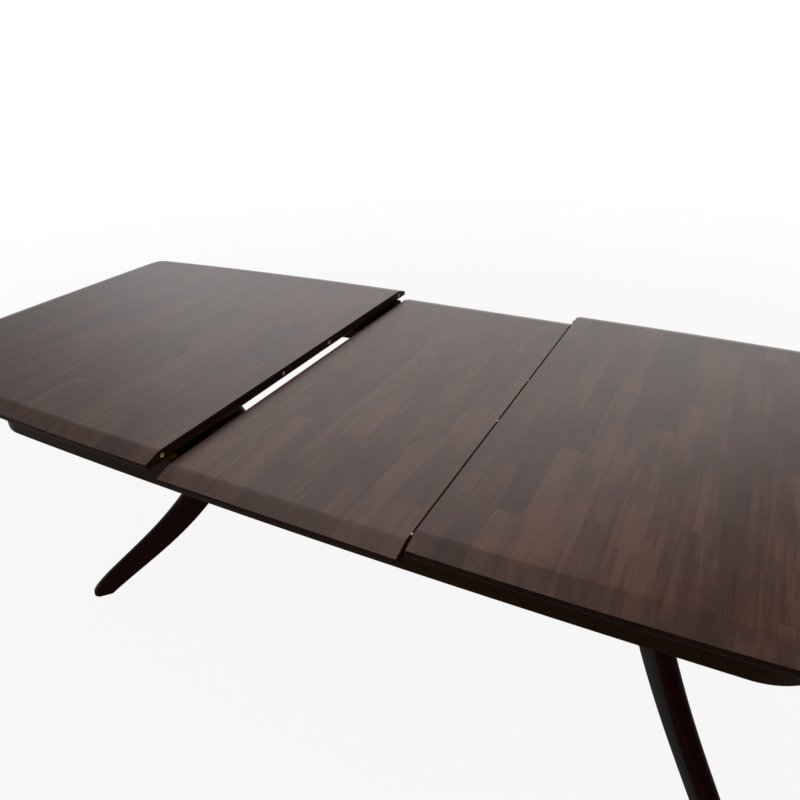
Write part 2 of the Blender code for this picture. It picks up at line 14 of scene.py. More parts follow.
import bmesh
import bpy
import numpy as np
from bpy.props import FloatProperty, FloatVectorProperty, PointerProperty
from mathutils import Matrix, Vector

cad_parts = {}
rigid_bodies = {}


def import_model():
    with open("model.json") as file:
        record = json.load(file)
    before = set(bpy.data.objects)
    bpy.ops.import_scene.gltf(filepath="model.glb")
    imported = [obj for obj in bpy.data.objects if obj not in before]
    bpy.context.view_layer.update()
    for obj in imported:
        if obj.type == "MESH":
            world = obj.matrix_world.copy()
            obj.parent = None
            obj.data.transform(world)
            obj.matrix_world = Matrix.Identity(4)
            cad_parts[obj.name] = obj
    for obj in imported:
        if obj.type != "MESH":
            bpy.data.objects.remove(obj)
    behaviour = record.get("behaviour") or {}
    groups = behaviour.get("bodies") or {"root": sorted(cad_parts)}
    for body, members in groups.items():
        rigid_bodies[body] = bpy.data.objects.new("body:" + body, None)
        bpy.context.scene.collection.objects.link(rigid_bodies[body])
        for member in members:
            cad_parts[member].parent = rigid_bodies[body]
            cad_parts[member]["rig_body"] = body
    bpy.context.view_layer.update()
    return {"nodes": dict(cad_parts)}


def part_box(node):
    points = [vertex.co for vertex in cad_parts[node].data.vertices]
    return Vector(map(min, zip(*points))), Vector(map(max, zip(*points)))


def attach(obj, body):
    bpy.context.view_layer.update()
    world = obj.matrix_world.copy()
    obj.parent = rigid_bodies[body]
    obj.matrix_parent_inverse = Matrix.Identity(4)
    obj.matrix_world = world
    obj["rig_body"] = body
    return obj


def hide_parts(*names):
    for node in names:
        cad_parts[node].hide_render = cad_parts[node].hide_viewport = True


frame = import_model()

bl_info = {
    "name": "Extending Dining Table",
    "version": (1, 0, 0),
    "blender": (4, 5, 0),
    "location": "View3D > Sidebar > Table",
    "description": "Builds the finished pieces of an extending dining table round its frame",
    "category": "Object",
}


def limits(node):
    """Lowest and highest corner of a solid, as a pair of rows."""
    return np.array([list(corner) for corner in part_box(node)])


def middle(node):
    """Centre of the box round a solid."""
    return limits(node).mean(axis=0)


# Places read from the frame
SEAM_X, _, TOP_UNDERSIDE = limits("right_top")[0]
END_X, HALF_WIDTH, TABLE_TOP = limits("right_top")[1]
TOP_LENGTH = END_X - SEAM_X
TOP_THICKNESS = TABLE_TOP - TOP_UNDERSIDE
LEAF_LEFT, _, LEAF_UNDERSIDE = limits("centre_leaf")[0]
LEAF_RIGHT, _, LEAF_TOP = limits("centre_leaf")[1]
LEAF_THICKNESS = LEAF_TOP - LEAF_UNDERSIDE
APRON_END_X, _, APRON_TOP = limits("apron_rear_rail")[1]
APRON_SIDE_Y = limits("apron_rear_rail")[1][1]
APRON_BOTTOM = limits("apron_rear_rail")[0][2]
PEDESTAL_X = middle("column_right")[0]
COLUMN_TOP = limits("column_right")[1][2]
GLIDE_TOP = limits("glide_right_front")[1][2]

ROWS = (1, 2, 3, 4)
SIDES = {"front": -1.0, "rear": 1.0}
ENDS = {"left": -1.0, "right": 1.0}

# Room between pieces that touch, and the size of the small flats that close turned pieces on their axis
SEAT = 0.0003
POLE = 0.001

# Radius of a pin's spigot and of a bush, as shares of their solids' radii
SPIGOT_SHARE = 0.58
BUSH_SHARE = 0.76


def length(name, default, description):
    """A size in metres that the sidebar shows."""
    return FloatProperty(name=name, description=description, default=default, min=0.0,
                         unit="LENGTH", precision=4)


def share(name, default, description):
    """A share between nothing and all."""
    return FloatProperty(name=name, description=description, default=default, min=0.0, max=1.0,
                         subtype="FACTOR")


def stain(name, default, description):
    """A colour, in linear values."""
    return FloatVectorProperty(name=name, description=description, default=default, size=3, min=0.0,
                               max=1.0, subtype="COLOR")


class BoardShape(bpy.types.PropertyGroup):
    """Sizes of the tops and the leaf that their boxes don't tell."""

    side_bow: length("Side bow", 0.0508, "How far a top's long side draws in from its seam to its end")
    end_bow: length("End bow", 0.005, "How far a top's end swells in the middle")
    corner_radius: length("Corner radius", 0.038, "Radius of a top's outer corners")
    bevel_width: length("Bevel width", 0.0375, "Width of the shallow bevel in plan")
    bevel_drop: length("Bevel drop", 0.0115, "How far the bevel falls from the face to the edge")
    bevel_corner_radius: length("Bevel corner", 0.010, "Corner radius of the bevel's inner line")
    crease: length("Crease softness", 0.006, "Half width of the sanded crease between face and bevel")
    arris: length("Arris", 0.0024, "Width of the eased edges")


class BaseShape(bpy.types.PropertyGroup):
    """Sizes of the apron, the columns and the legs that their boxes don't tell."""

    apron_bow: length("Apron bow", 0.0186, "How far the apron's side would draw in at its ends")
    apron_thickness: length("Apron thickness", 0.022, "Thickness of the apron rails")
    apron_drop: length("Apron drop", 0.003, "How far the rails hang below the boxes of their solids")
    apron_corner: length("Apron corner", 0.120, "Outer radius of the apron's corners")
    notch_clearance: length("Notch clearance", 0.004, "Room beside the leaf in the apron's notch")
    collar_radius: length("Collar radius", 0.060, "Radius of the collar under the head beam")
    collar_depth: length("Collar depth", 0.014, "Depth of the collar")
    neck_radius: length("Neck radius", 0.030, "Radius of the column's neck")
    neck_height: length("Neck height", 0.550, "Height of the neck above the floor")
    hub_radius: length("Hub radius", 0.064, "Greatest radius of the barrel that holds the legs")
    shoulder_radius: length("Shoulder radius", 0.056, "Radius of the barrel at its beads")
    hub_top: length("Hub top", 0.458, "Height of the upper bead")
    hub_bottom: length("Hub bottom", 0.262, "Height of the lower bead")
    bead: length("Bead", 0.005, "Radius of the beads")
    drop_radius: length("Drop radius", 0.030, "Radius of the turned drop")
    drop_length: length("Drop length", 0.062, "Length of the turned drop")
    leg_reach: length("Leg reach", 0.474, "Distance of the toe from the column's axis")
    leg_start: length("Leg start", 0.0523, "Distance of the leg's housed end from the axis")
    leg_width: length("Leg width", 0.047, "Width of a leg")
    leg_top_depth: length("Leg depth at the hub", 0.085, "Depth of a leg at the hub")
    leg_foot_depth: length("Leg depth at the foot", 0.046, "Depth of a leg at the ankle")
    leg_joint_height: length("Leg joint height", 0.367, "Height of a leg's centre line at the hub")
    leg_ankle_height: length("Ankle height", 0.008, "Height of a leg's centre line at the ankle")
    leg_sag: length("Leg sag", 0.0333, "How far a leg's centre line sags below a straight line")
    leg_sway: length("Leg sway", 0.0952, "How strongly a leg's centre line sways about that line")
    toe_setback: length("Toe setback", 0.0216, "Distance from the ankle to the toe")
    toe_run: length("Toe run", 0.066, "How far up a leg the rounding of its toe starts")
    toe_rise: length("Toe rise", 0.0040, "How far above the foot the rounding of the toe ends")
    leg_splay: FloatProperty(name="Leg splay", description="Angle of the legs to the table's length",
                             default=math.radians(48.9), subtype="ANGLE")
    leg_upper_round: length("Leg upper edge", 0.021, "Rounding of a leg's upper edges")
    leg_lower_round: length("Leg lower edge", 0.006, "Rounding of a leg's lower edges")


class WoodFinish(bpy.types.PropertyGroup):
    """Colours and scales of the finishes."""

    stave_width: length("Stave width", 0.046, "Width of the staves glued up into the boards")
    stave_length: length("Stave length", 0.38, "Length of the staves")
    stain_dark: stain("Dark stave", (0.0325, 0.0122, 0.0074), "Darkest staves of the boards")
    # The bevels' colour is partly their deeper stain and partly painted shade and painted grey sheen
    bevel_stain_and_shade: stain("Bevel", (0.0420, 0.0240, 0.0184), "Stain on the bevels")
    stain_middle: stain("Middle stave", (0.0560, 0.0200, 0.0104), "Usual staves of the boards")
    stain_warm: stain("Warm stave", (0.0900, 0.0366, 0.0185), "Lightest staves of the boards")
    # The edges' colours are partly their deeper stain and partly painted shade
    edge_dark: stain("Edge dark", (0.0052, 0.0019, 0.0009), "Darkest grain of the boards' edges")
    edge_light: stain("Edge light", (0.0240, 0.0090, 0.0038), "Lightest grain of the boards' edges")
    # The apron's colours are partly its dark stain and partly painted shade
    apron_dark: stain("Apron dark", (0.0104, 0.0048, 0.0010), "Dark grain of the apron")
    apron_light: stain("Apron light", (0.0280, 0.0128, 0.0026), "Light grain of the apron")
    # The legs' and columns' near-black colours are partly their dark stain and partly painted shade
    leg_dark: stain("Leg dark", (0.0016, 0.0004, 0.0003), "Dark grain of the legs and columns")
    leg_light: stain("Leg light", (0.0340, 0.0090, 0.0058), "Light grain of the legs and columns")
    slide_dark: stain("Slide dark", (0.016, 0.008, 0.0045), "Dark grain of the waxed slides")
    slide_light: stain("Slide light", (0.048, 0.026, 0.0145), "Light grain of the waxed slides")
    brass: stain("Brass", (0.860, 0.570, 0.350), "Colour of the pins, bushes and screws")
    glide: stain("Glide", (0.030, 0.027, 0.025), "Colour of the glides")
    board_gloss: share("Board roughness", 0.27, "Roughness of the satin boards")
    edge_gloss: share("Edge roughness", 0.42, "Roughness of the boards' edges")
    apron_gloss: share("Apron roughness", 0.40, "Roughness of the apron")
    leg_gloss: share("Leg roughness", 0.32, "Roughness of the legs and columns")
    slide_gloss: share("Slide roughness", 0.52, "Roughness of the waxed slides")


class Studio(bpy.types.PropertyGroup):
    """Camera, light and floor."""

    camera_place: FloatVectorProperty(name="Camera place", description="Where the camera stands", size=3,
                                      default=(0.6496, -1.2332, 1.4318), subtype="TRANSLATION",
                                      unit="LENGTH")
    camera_turn: FloatVectorProperty(name="Camera turn", description="How the camera is turned", size=3,
                                     default=tuple(math.radians(a) for a in (61.5918, 1.5371, 27.4498)),
                                     subtype="EULER", unit="ROTATION")
    lens: FloatProperty(name="Lens", description="Focal length on a 36 mm sensor", default=30.164, min=1.0,
                        subtype="DISTANCE_CAMERA")
    softbox_power: FloatProperty(name="Softbox", description="Power of the overhead softbox", default=16.0,
                                 min=0.0, unit="POWER")
    fill: share("Fill", 0.34, "Strength of the light that comes from all round")
    overhead: share("Overhead", 0.12, "How bright the studio is straight overhead in reflections")
    leftward: share("Leftward", 0.20, "How bright the studio's left side is in reflections")
    nearside: share("Nearside", 0.70, "How bright the studio is above the table's near side in reflections")
    shadow: share("Shadow", 0.09, "How much of the table's shadow shows on the floor")
    floor: stain("Floor", (0.86, 0.86, 0.86), "Colour of the floor")


def lattice(stations, ring):
    """Point numbers of the quads of a grid that closes round its rings.

    Quad (s, r) joins point r of ring s with its neighbour on the same ring and both on the next one.
    """
    s = np.arange(stations - 1)[:, None] * ring
    r = np.arange(ring)[None, :]
    after = (r + 1) % ring
    return np.stack((s + r, s + after, s + ring + after, s + ring + r), axis=-1).reshape(-1, 4)


def fill_mesh(name, points, quads, caps=()):
    """Put whole arrays of points and quads, and rings that close as caps, into a new mesh facing out."""
    corners = np.concatenate([quads.ravel(), *[np.asarray(cap).ravel() for cap in caps]]).astype(np.int32)
    sizes = np.array([4] * len(quads) + [len(cap) for cap in caps])
    mesh = bpy.data.meshes.new(name)
    mesh.vertices.add(len(points))
    mesh.vertices.foreach_set("co", np.ascontiguousarray(points, dtype=np.float32).ravel())
    mesh.loops.add(len(corners))
    mesh.loops.foreach_set("vertex_index", corners)
    mesh.polygons.add(len(sizes))
    mesh.polygons.foreach_set("loop_start", (np.cumsum(sizes) - sizes).astype(np.int32))
    mesh.update(calc_edges=True)
    face_out(mesh)
    return mesh


@contextmanager
def reworked(source, target=None):
    """A mesh opened for bmesh operators, whose result goes back into it or into a target."""
    bm = bmesh.new()
    bm.from_mesh(source)
    yield bm
    bm.to_mesh(source if target is None else target)
    bm.free()


def face_out(mesh):
    """Merge doubled points and turn every face outwards."""
    with reworked(mesh) as bm:
        bmesh.ops.remove_doubles(bm, verts=bm.verts, dist=1e-6)
        bmesh.ops.recalc_face_normals(bm, faces=bm.faces)


def points_of(mesh):
    """Points of a mesh, one row each."""
    points = np.empty(len(mesh.vertices) * 3, np.float32)
    mesh.vertices.foreach_get("co", points)
    return points.reshape(-1, 3)


def move_points(mesh, points):
    """Put moved points back into their mesh."""
    mesh.vertices.foreach_set("co", np.ascontiguousarray(points, dtype=np.float32).ravel())
    mesh.update()


def face_values(mesh, name):
    """Normals or centres of a mesh's faces, one row each."""
    values = np.empty(len(mesh.polygons) * 3, np.float32)
    mesh.polygons.foreach_get(name, values)
    return values.reshape(-1, 3)


def tube_mesh(name, rings):
    """Mesh of a stack of rings, an array of stations by ring points by three, capped at both ends."""
    stations, ring = rings.shape[:2]
    numbers = np.arange(stations * ring).reshape(stations, ring)
    return fill_mesh(name, rings.reshape(-1, 3), lattice(stations, ring), (numbers[0], numbers[-1]))


def turned_rings(profile, steps):
    """A profile of (radius, height) rows turned about Z: x = r cos a, y = r sin a, z = height."""
    angle = np.linspace(0, 2 * np.pi, steps, endpoint=False)
    radius, height = np.asarray(profile, float).T[:, :, None]
    return np.stack((radius * np.cos(angle), radius * np.sin(angle), height + 0 * angle), axis=-1)


def along_x(rings):
    """Lay turned rings down, so that their height runs along X."""
    return rings[..., [2, 0, 1]]


def add_piece(name, mesh, body, material, replaced):
    """Add a finished piece that rides on a body and stands for its solid."""
    mesh.materials.append(material)
    piece = bpy.data.objects.new(name, mesh)
    bpy.context.scene.collection.objects.link(piece)
    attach(piece, body)
    if replaced:
        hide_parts(replaced)
    return piece


def ease(piece, width, segments=3, crisp=30.0):
    """Ease the crisp edges of a piece."""
    eased = piece.modifiers.new("eased", "BEVEL")
    eased.width = width
    eased.segments = segments
    eased.limit_method = "ANGLE"
    eased.angle_limit = math.radians(crisp)
    return eased


def soften(piece, width=0.0, segments=3, crisp=30.0):
    """Shade a piece smooth between its crisp edges, and ease those edges where a width is given."""
    piece.data.shade_smooth()
    piece.data.set_sharp_from_angle(angle=math.radians(crisp))
    if width:
        ease(piece, width, segments, crisp).harden_normals = True


def carve(mesh, cutters, arris=0.0):
    """What is left of a mesh, its edges eased where an arris is given, without the cutter meshes."""
    host = bpy.data.objects.new("carved", mesh)
    bpy.context.scene.collection.objects.link(host)
    if arris:
        ease(host, arris)
    tools = []
    for cutter in cutters:
        tool = bpy.data.objects.new("cutter", cutter)
        bpy.context.scene.collection.objects.link(tool)
        cut = host.modifiers.new("cut", "BOOLEAN")
        cut.operation = "DIFFERENCE"
        cut.solver = "EXACT"
        cut.object = tool
        tools.append(tool)
    carved = bpy.data.meshes.new_from_object(host.evaluated_get(bpy.context.evaluated_depsgraph_get()))
    for used in (host, *tools):
        spent = used.data
        bpy.data.objects.remove(used)
        bpy.data.meshes.remove(spent)
    return carved


def box_mesh(low, high):
    """A square block between two corners, for cutting."""
    plan = np.array([(low[0], low[1]), (high[0], low[1]), (high[0], high[1]), (low[0], high[1])])
    return tube_mesh("block", np.stack([np.column_stack((plan, np.full(4, z))) for z in (low[2], high[2])]))


def add_node(tree, kind, links=None, **settings):
    """Add a shader node with its settings; links gives each input a value or a socket."""
    made = tree.nodes.new(kind)
    for name, value in settings.items():
        setattr(made, name, value)
    for socket, value in (links or {}).items():
        if isinstance(value, bpy.types.NodeSocket):
            tree.links.new(value, made.inputs[socket])
        else:
            made.inputs[socket].default_value = value
    return made


def maths(tree, operation, *values):
    """Output of a Math node on values or sockets."""
    return add_node(tree, "ShaderNodeMath", dict(enumerate(values)), operation=operation).outputs[0]


def weighed(tree, start, *terms):
    """A starting value plus the sum of (value, weight) terms."""
    for value, weight in terms:
        start = maths(tree, "MULTIPLY_ADD", value, weight, start)
    return start


def between(tree, value, low, high):
    """Smooth step of a value from 0 at low to 1 at high."""
    links = {"Value": value, "From Min": low, "From Max": high}
    return add_node(tree, "ShaderNodeMapRange", links, interpolation_type="SMOOTHSTEP").outputs[0]


def noise(tree, vector, detail=3.0, roughness=0.55, distortion=0.0, scale=1.0):
    """Height of a noise field at a vector."""
    links = {"Vector": vector, "Scale": scale, "Detail": detail, "Roughness": roughness,
             "Distortion": distortion}
    return add_node(tree, "ShaderNodeTexNoise", links).outputs["Fac"]


def blend(tree, factor, first, second):
    """Colour between two colours."""
    return add_node(tree, "ShaderNodeMix", {0: factor, 6: first, 7: second}, data_type="RGBA").outputs[2]


def vector(tree, *parts):
    """Vector of three values or sockets."""
    return add_node(tree, "ShaderNodeCombineXYZ", dict(enumerate(parts))).outputs[0]


def rgba(colour):
    """A colour with full opacity."""
    return (*colour, 1.0)


def new_material(name, **constants):
    """A Principled material with its constant sockets set; returns it, its tree and its shader."""
    made = bpy.data.materials.new(name)
    made.use_nodes = True
    shader = made.node_tree.nodes["Principled BSDF"]
    for socket, value in constants.items():
        shader.inputs[socket.replace("_", " ")].default_value = value
    return made, made.node_tree, shader


def ramp(tree, factor, stops):
    """Colour ramp through (place, colour) stops."""
    made = add_node(tree, "ShaderNodeValToRGB", {0: factor})
    elements = made.color_ramp.elements
    while len(elements) < len(stops):
        elements.new(1.0)
    for element, (place, colour) in zip(elements, stops):
        element.position = place
        element.color = rgba(colour)
    return made.outputs[0]


def roughen(tree, shader, height, strength=0.2, distance=0.0004):
    """Raise the surface by a height field, as much as an open grain does where nothing else is given."""
    links = {"Strength": strength, "Distance": distance, "Height": height}
    tree.links.new(add_node(tree, "ShaderNodeBump", links).outputs[0], shader.inputs["Normal"])


# Waves of the boards' grain per metre, along X, Y and Z
WANDER_WAVES = (2.0, 0.8, 0.0)
STREAK_WAVES = (85.0, 3.2, 85.0)
PORE_WAVES = (900.0, 34.0, 900.0)
CLOUD_WAVES = (16.0, 4.0, 0.0)
MOTTLE_WAVES = (13.0, 5.0, 0.0)

# Heights of the pore field between which pores open, and how dark they and the joints are
OPEN_PORES = (0.60, 0.74)
PORE_SHARE = 0.55
JOINT_SHARE = 0.35

# Width of the joints beside a stave and at its ends, as shares of its width and its length
SIDE_JOINT = 0.016
BUTT_JOINT = 0.002

# How far the joints wander in metres, how far a stave and the grain of a length are shifted, and the
# third number that the lengths' random values are drawn from
WANDER = 0.004
STAVE_SHIFT = 7.0
GRAIN_SHIFT = 9.0
LENGTH_SEED = 3.0

# Upward part of the normal on the face and on the bevel, and how much of the bevel's colour shows,
# which is partly its deeper stain and partly painted shade and painted grey sheen
FACE_UP = 0.9999
BEVEL_UP = 0.992
BEVEL_STAIN_AND_SHADE_SHARE = 0.30


def stave_finish(finish):
    """Dark satin stain over staves that run front to back.

    X is divided into staves and each stave, shifted by its own random amount, into lengths. Every
    length has its own random tone and its own shifted grain: long streaks along Y, clouds and fine
    pores. A mottle runs over all of them. The bevel, told by its slope, is given a greyer, darker colour,
    partly its deeper stain and partly painted shade and painted grey sheen, and is duller.
    """
    made, tree, shader = new_material(FINISH_NAMES[stave_finish], IOR=1.68)
    place = add_node(tree, "ShaderNodeTexCoord").outputs
    spot = add_node(tree, "ShaderNodeSeparateXYZ", {0: place["Object"]}).outputs

    def drawn(waves, *shifts):
        """The place times its waves, with shifts added to X and Y."""
        return vector(tree, *[maths(tree, "MULTIPLY_ADD", *part)
                              for part in zip(spot, waves, (*shifts, 0.0, 0.0, 0.0))])

    wander = maths(tree, "MULTIPLY", noise(tree, drawn(WANDER_WAVES), detail=1.0), WANDER)
    across = maths(tree, "DIVIDE", maths(tree, "ADD", spot[0], wander), finish.stave_width)
    stave = maths(tree, "FLOOR", across)
    shift = add_node(tree, "ShaderNodeTexWhiteNoise", {"W": stave}, noise_dimensions="1D").outputs["Value"]
    along = maths(tree, "DIVIDE", weighed(tree, spot[1], (shift, STAVE_SHIFT)), finish.stave_length)
    cut = vector(tree, stave, maths(tree, "FLOOR", along), LENGTH_SEED)
    chance = add_node(tree, "ShaderNodeTexWhiteNoise", {"Vector": cut}, noise_dimensions="3D").outputs
    own = add_node(tree, "ShaderNodeSeparateColor", {0: chance["Color"]}).outputs
    drift = maths(tree, "MULTIPLY", own[0], GRAIN_SHIFT)
    streaks = noise(tree, drawn(STREAK_WAVES, drift, drift), detail=5.0, roughness=0.62, distortion=0.6)
    pores = noise(tree, drawn(PORE_WAVES, 0.0, drift), detail=2.0)
    clouds = noise(tree, drawn(CLOUD_WAVES, drift, drift), detail=2.0)
    mottle = noise(tree, drawn(MOTTLE_WAVES), detail=3.0, roughness=0.6, distortion=0.4)

    tone = weighed(tree, 0.0, (streaks, 0.62), (own[1], 0.20), (clouds, 0.44), (mottle, 0.46))
    dark = rgba(finish.stain_dark)
    colour = ramp(tree, tone, ((0.66, finish.stain_dark), (0.86, finish.stain_middle),
                               (1.0, finish.stain_warm)))
    joint = maths(tree, "MULTIPLY", between(tree, maths(tree, "PINGPONG", across, 0.5), 0.0, SIDE_JOINT),
                  between(tree, maths(tree, "PINGPONG", along, 0.5), 0.0, BUTT_JOINT))
    open_joint = maths(tree, "MULTIPLY", maths(tree, "SUBTRACT", 1.0, joint), JOINT_SHARE)
    colour = blend(tree, open_joint, colour, dark)
    pore = between(tree, pores, *OPEN_PORES)
    colour = blend(tree, maths(tree, "MULTIPLY", pore, PORE_SHARE), colour, dark)
    facing = add_node(tree, "ShaderNodeSeparateXYZ", {0: place["Normal"]}).outputs
    slope = between(tree, maths(tree, "ABSOLUTE", facing[2]), FACE_UP, BEVEL_UP)
    # Painted shade and painted grey sheen, with some deeper stain: the bevel, told by its slope, is blended
    # towards the greyer, darker bevel colour
    colour = blend(tree, maths(tree, "MULTIPLY", slope, BEVEL_STAIN_AND_SHADE_SHARE), colour, rgba(finish.bevel_stain_and_shade))
    satin = weighed(tree, finish.board_gloss - 0.05, (streaks, 0.10), (slope, 0.08), (pore, 0.12))
    tree.links.new(colour, shader.inputs["Base Color"])
    tree.links.new(satin, shader.inputs["Roughness"])
    roughen(tree, shader, weighed(tree, 0.0, (streaks, 0.35), (pore, -0.5), (joint, 0.5)))
    return made


# Waves of a plain grain per metre, across it and along it
FIGURE = (22.0, 1.6)
FINE_STREAKS = (150.0, 5.0)
FINE_PORES = (850.0, 32.0)


def grain_finish(name, along, dark, light, roughness, level, wavy):
    """Wood with its grain along X, Y or Z of the piece, or along the U of its own map.

    Two noise fields, drawn out along the grain, give broad figure and fine streaks. A third gives pores.
    """
    made, tree, shader = new_material(name, IOR=1.5, Specular_IOR_Level=level)
    place = add_node(tree, "ShaderNodeTexCoord").outputs["UV" if along == "UV" else "Object"]
    axis = "XYZ".index(along) if along in "XYZ" else 0

    def drawn(cross, lengthwise):
        """The place scaled across and along the grain."""
        scale = [cross, cross, cross]
        scale[axis] = lengthwise
        return add_node(tree, "ShaderNodeMapping", {"Vector": place, "Scale": scale}).outputs[0]

    figure = noise(tree, drawn(*FIGURE), detail=3.0, distortion=wavy)
    streaks = noise(tree, drawn(*FINE_STREAKS), detail=4.0, roughness=0.62, distortion=0.3)
    pore = between(tree, noise(tree, drawn(*FINE_PORES), detail=2.0), *OPEN_PORES)
    colour = ramp(tree, weighed(tree, 0.0, (streaks, 0.45), (figure, 0.55)), ((0.34, dark), (0.68, light)))
    colour = blend(tree, maths(tree, "MULTIPLY", pore, 0.5), colour, rgba(dark))
    tree.links.new(colour, shader.inputs["Base Color"])
    tree.links.new(weighed(tree, roughness - 0.06, (streaks, 0.12)), shader.inputs["Roughness"])
    roughen(tree, shader, weighed(tree, 0.0, (streaks, 0.4), (pore, -0.5)))
    return made


def brass_finish(finish):
    """Satin turned brass with fine tool marks and a little tarnish."""
    made, tree, shader = new_material(FINISH_NAMES[brass_finish], Metallic=0.6)
    place = add_node(tree, "ShaderNodeTexCoord").outputs["Object"]
    tooled = add_node(tree, "ShaderNodeMapping", {"Vector": place, "Scale": (4000.0, 300.0, 300.0)})
    tarnish = noise(tree, place, scale=320.0, detail=3.0)
    dull = tuple(part * 0.55 for part in finish.brass)
    tree.links.new(ramp(tree, tarnish, ((0.38, dull), (0.60, finish.brass))), shader.inputs["Base Color"])
    tree.links.new(weighed(tree, 0.52, (tarnish, 0.20)), shader.inputs["Roughness"])
    roughen(tree, shader, noise(tree, tooled.outputs[0]), 0.15, 0.0001)
    return made


def glide_finish(finish):
    """Hard black glide plastic with a fine moulded grain and scuffs."""
    made, tree, shader = new_material(FINISH_NAMES[glide_finish])
    place = add_node(tree, "ShaderNodeTexCoord").outputs["Object"]
    speckle = noise(tree, place, scale=1500.0, detail=2.0)
    scuffs = between(tree, noise(tree, place, scale=120.0, detail=4.0), 0.52, 0.72)
    worn = tuple(part * 2.2 for part in finish.glide)
    tree.links.new(blend(tree, scuffs, rgba(finish.glide), rgba(worn)), shader.inputs["Base Color"])
    tree.links.new(weighed(tree, 0.5, (speckle, 0.25)), shader.inputs["Roughness"])
    roughen(tree, shader, speckle, 0.3, 0.0002)
    return made


# Settings' prefix, specular level and waviness of the plain woods. The edge, apron and leg colours are
# partly their stain and partly painted shade
WOODS = {"stained_apron": ("apron", 0.015, 0.5), "stained_leg": ("leg", 0.018, 0.5),
         "stained_and_shaded_edge": ("edge", 0.025, 0.5), "slide_wood": ("slide", 0.03, 0.9)}


def wood(kind, along):
    """The named plain wood finish with its grain along an axis, made once."""
    finish = bpy.context.scene.table_finish
    name = f"{kind}_along_{along.lower()}"
    part, level, wavy = WOODS[kind]
    dark, light, gloss = (getattr(finish, f"{part}_{setting}") for setting in ("dark", "light", "gloss"))
    return bpy.data.materials.get(name) or grain_finish(name, along, dark, light, gloss, level, wavy)


def shared(maker):
    """A finish that one maker gives, made once."""
    made = bpy.data.materials.get(FINISH_NAMES[maker])
    return made or maker(bpy.context.scene.table_finish)


FINISH_NAMES = {stave_finish: "stained_staves", brass_finish: "turned_brass", glide_finish: "moulded_glide"}


# Points along a top's long side, round its corner and along its end, and rings across the crease
BOW_POINTS = 48
CORNER_POINTS = 12
END_POINTS = 24
CREASE_RINGS = 5

# How square to the table's length a face is that lies in a seam
SQUARE = 0.9999

# A face that looks up by less than this is an edge of a board; an arris at a seam leans at least this much.
# Both get the dark edge finish, partly stain and partly painted shade
EDGE_UP = 0.85
ARRIS_LEAN = 0.1

# How far a socket's cutter runs out of its board, and the points round it
OUT_OF_BOARD = 0.01
SOCKET_STEPS = 32


def bowed_outline(board, inset):
    """Outline of a top in plan, its seam at x = 0, drawn in by an inset from its other edges.

    A long side draws in as the square of its distance from the seam, the corners are quarter circles
    and the end is a parabola. The corner radius shrinks steadily from the edge to the bevel's inner line.
    """
    drawn_in = inset / board.bevel_width
    radius = board.corner_radius + (board.bevel_corner_radius - board.corner_radius) * drawn_in
    corner_x = TOP_LENGTH - board.end_bow - inset - radius
    corner_y = HALF_WIDTH - inset - board.side_bow * (corner_x / TOP_LENGTH) ** 2 - radius
    side_x = np.linspace(0, corner_x, BOW_POINTS, endpoint=False)
    side = np.column_stack((side_x, board.side_bow * (side_x / TOP_LENGTH) ** 2 + inset - HALF_WIDTH))
    turn = np.linspace(0, np.pi / 2, CORNER_POINTS)
    bend = np.column_stack((corner_x + radius * np.sin(turn), -corner_y - radius * np.cos(turn)))
    across = np.linspace(-1, 1, END_POINTS + 2)[1:-1]
    end = np.column_stack((corner_x + radius + board.end_bow * (1 - across ** 2), corner_y * across))
    front = np.vstack((side, bend))
    return np.vstack((front, end, front[::-1] * (1, -1)))


def leaf_outline(board, inset):
    """Outline of the leaf in plan, drawn in by an inset from its front and rear edges only."""
    y = HALF_WIDTH - inset
    return np.array([(LEAF_LEFT, -y), (LEAF_RIGHT, -y), (LEAF_RIGHT, y), (LEAF_LEFT, y)])


def board_mesh(name, board, outline, thickness):
    """Mesh of a board: rings from the flat face over the soft crease and the bevel, and down the edge.

    With d the distance outwards from the bevel's inner line, s its softness and k its slope, the height
    is -k d on the bevel and -k (d + s)^2 / 4s across the crease.
    """
    soft = board.crease
    insets = np.append(board.bevel_width + soft * np.linspace(1, -1, CREASE_RINGS), (0.0, 0.0))
    outwards = board.bevel_width - insets
    fall = np.where(outwards > soft, outwards, (outwards + soft) ** 2 / (4 * soft))
    heights = -fall * board.bevel_drop / board.bevel_width
    heights[-1] = -thickness
    rings = [np.column_stack((plan, np.full(len(plan), height)))
             for plan, height in zip((outline(board, inset) for inset in insets), heights)]
    mesh = tube_mesh(name, np.stack(rings))
    facing = face_values(mesh, "normal")[:, 0]
    in_seam = facing < -SQUARE if outline is bowed_outline else np.abs(facing) > SQUARE
    with reworked(mesh) as bm:
        bm.faces.ensure_lookup_table()
        bmesh.ops.dissolve_faces(bm, faces=[bm.faces[face] for face in np.flatnonzero(in_seam)])
    return mesh


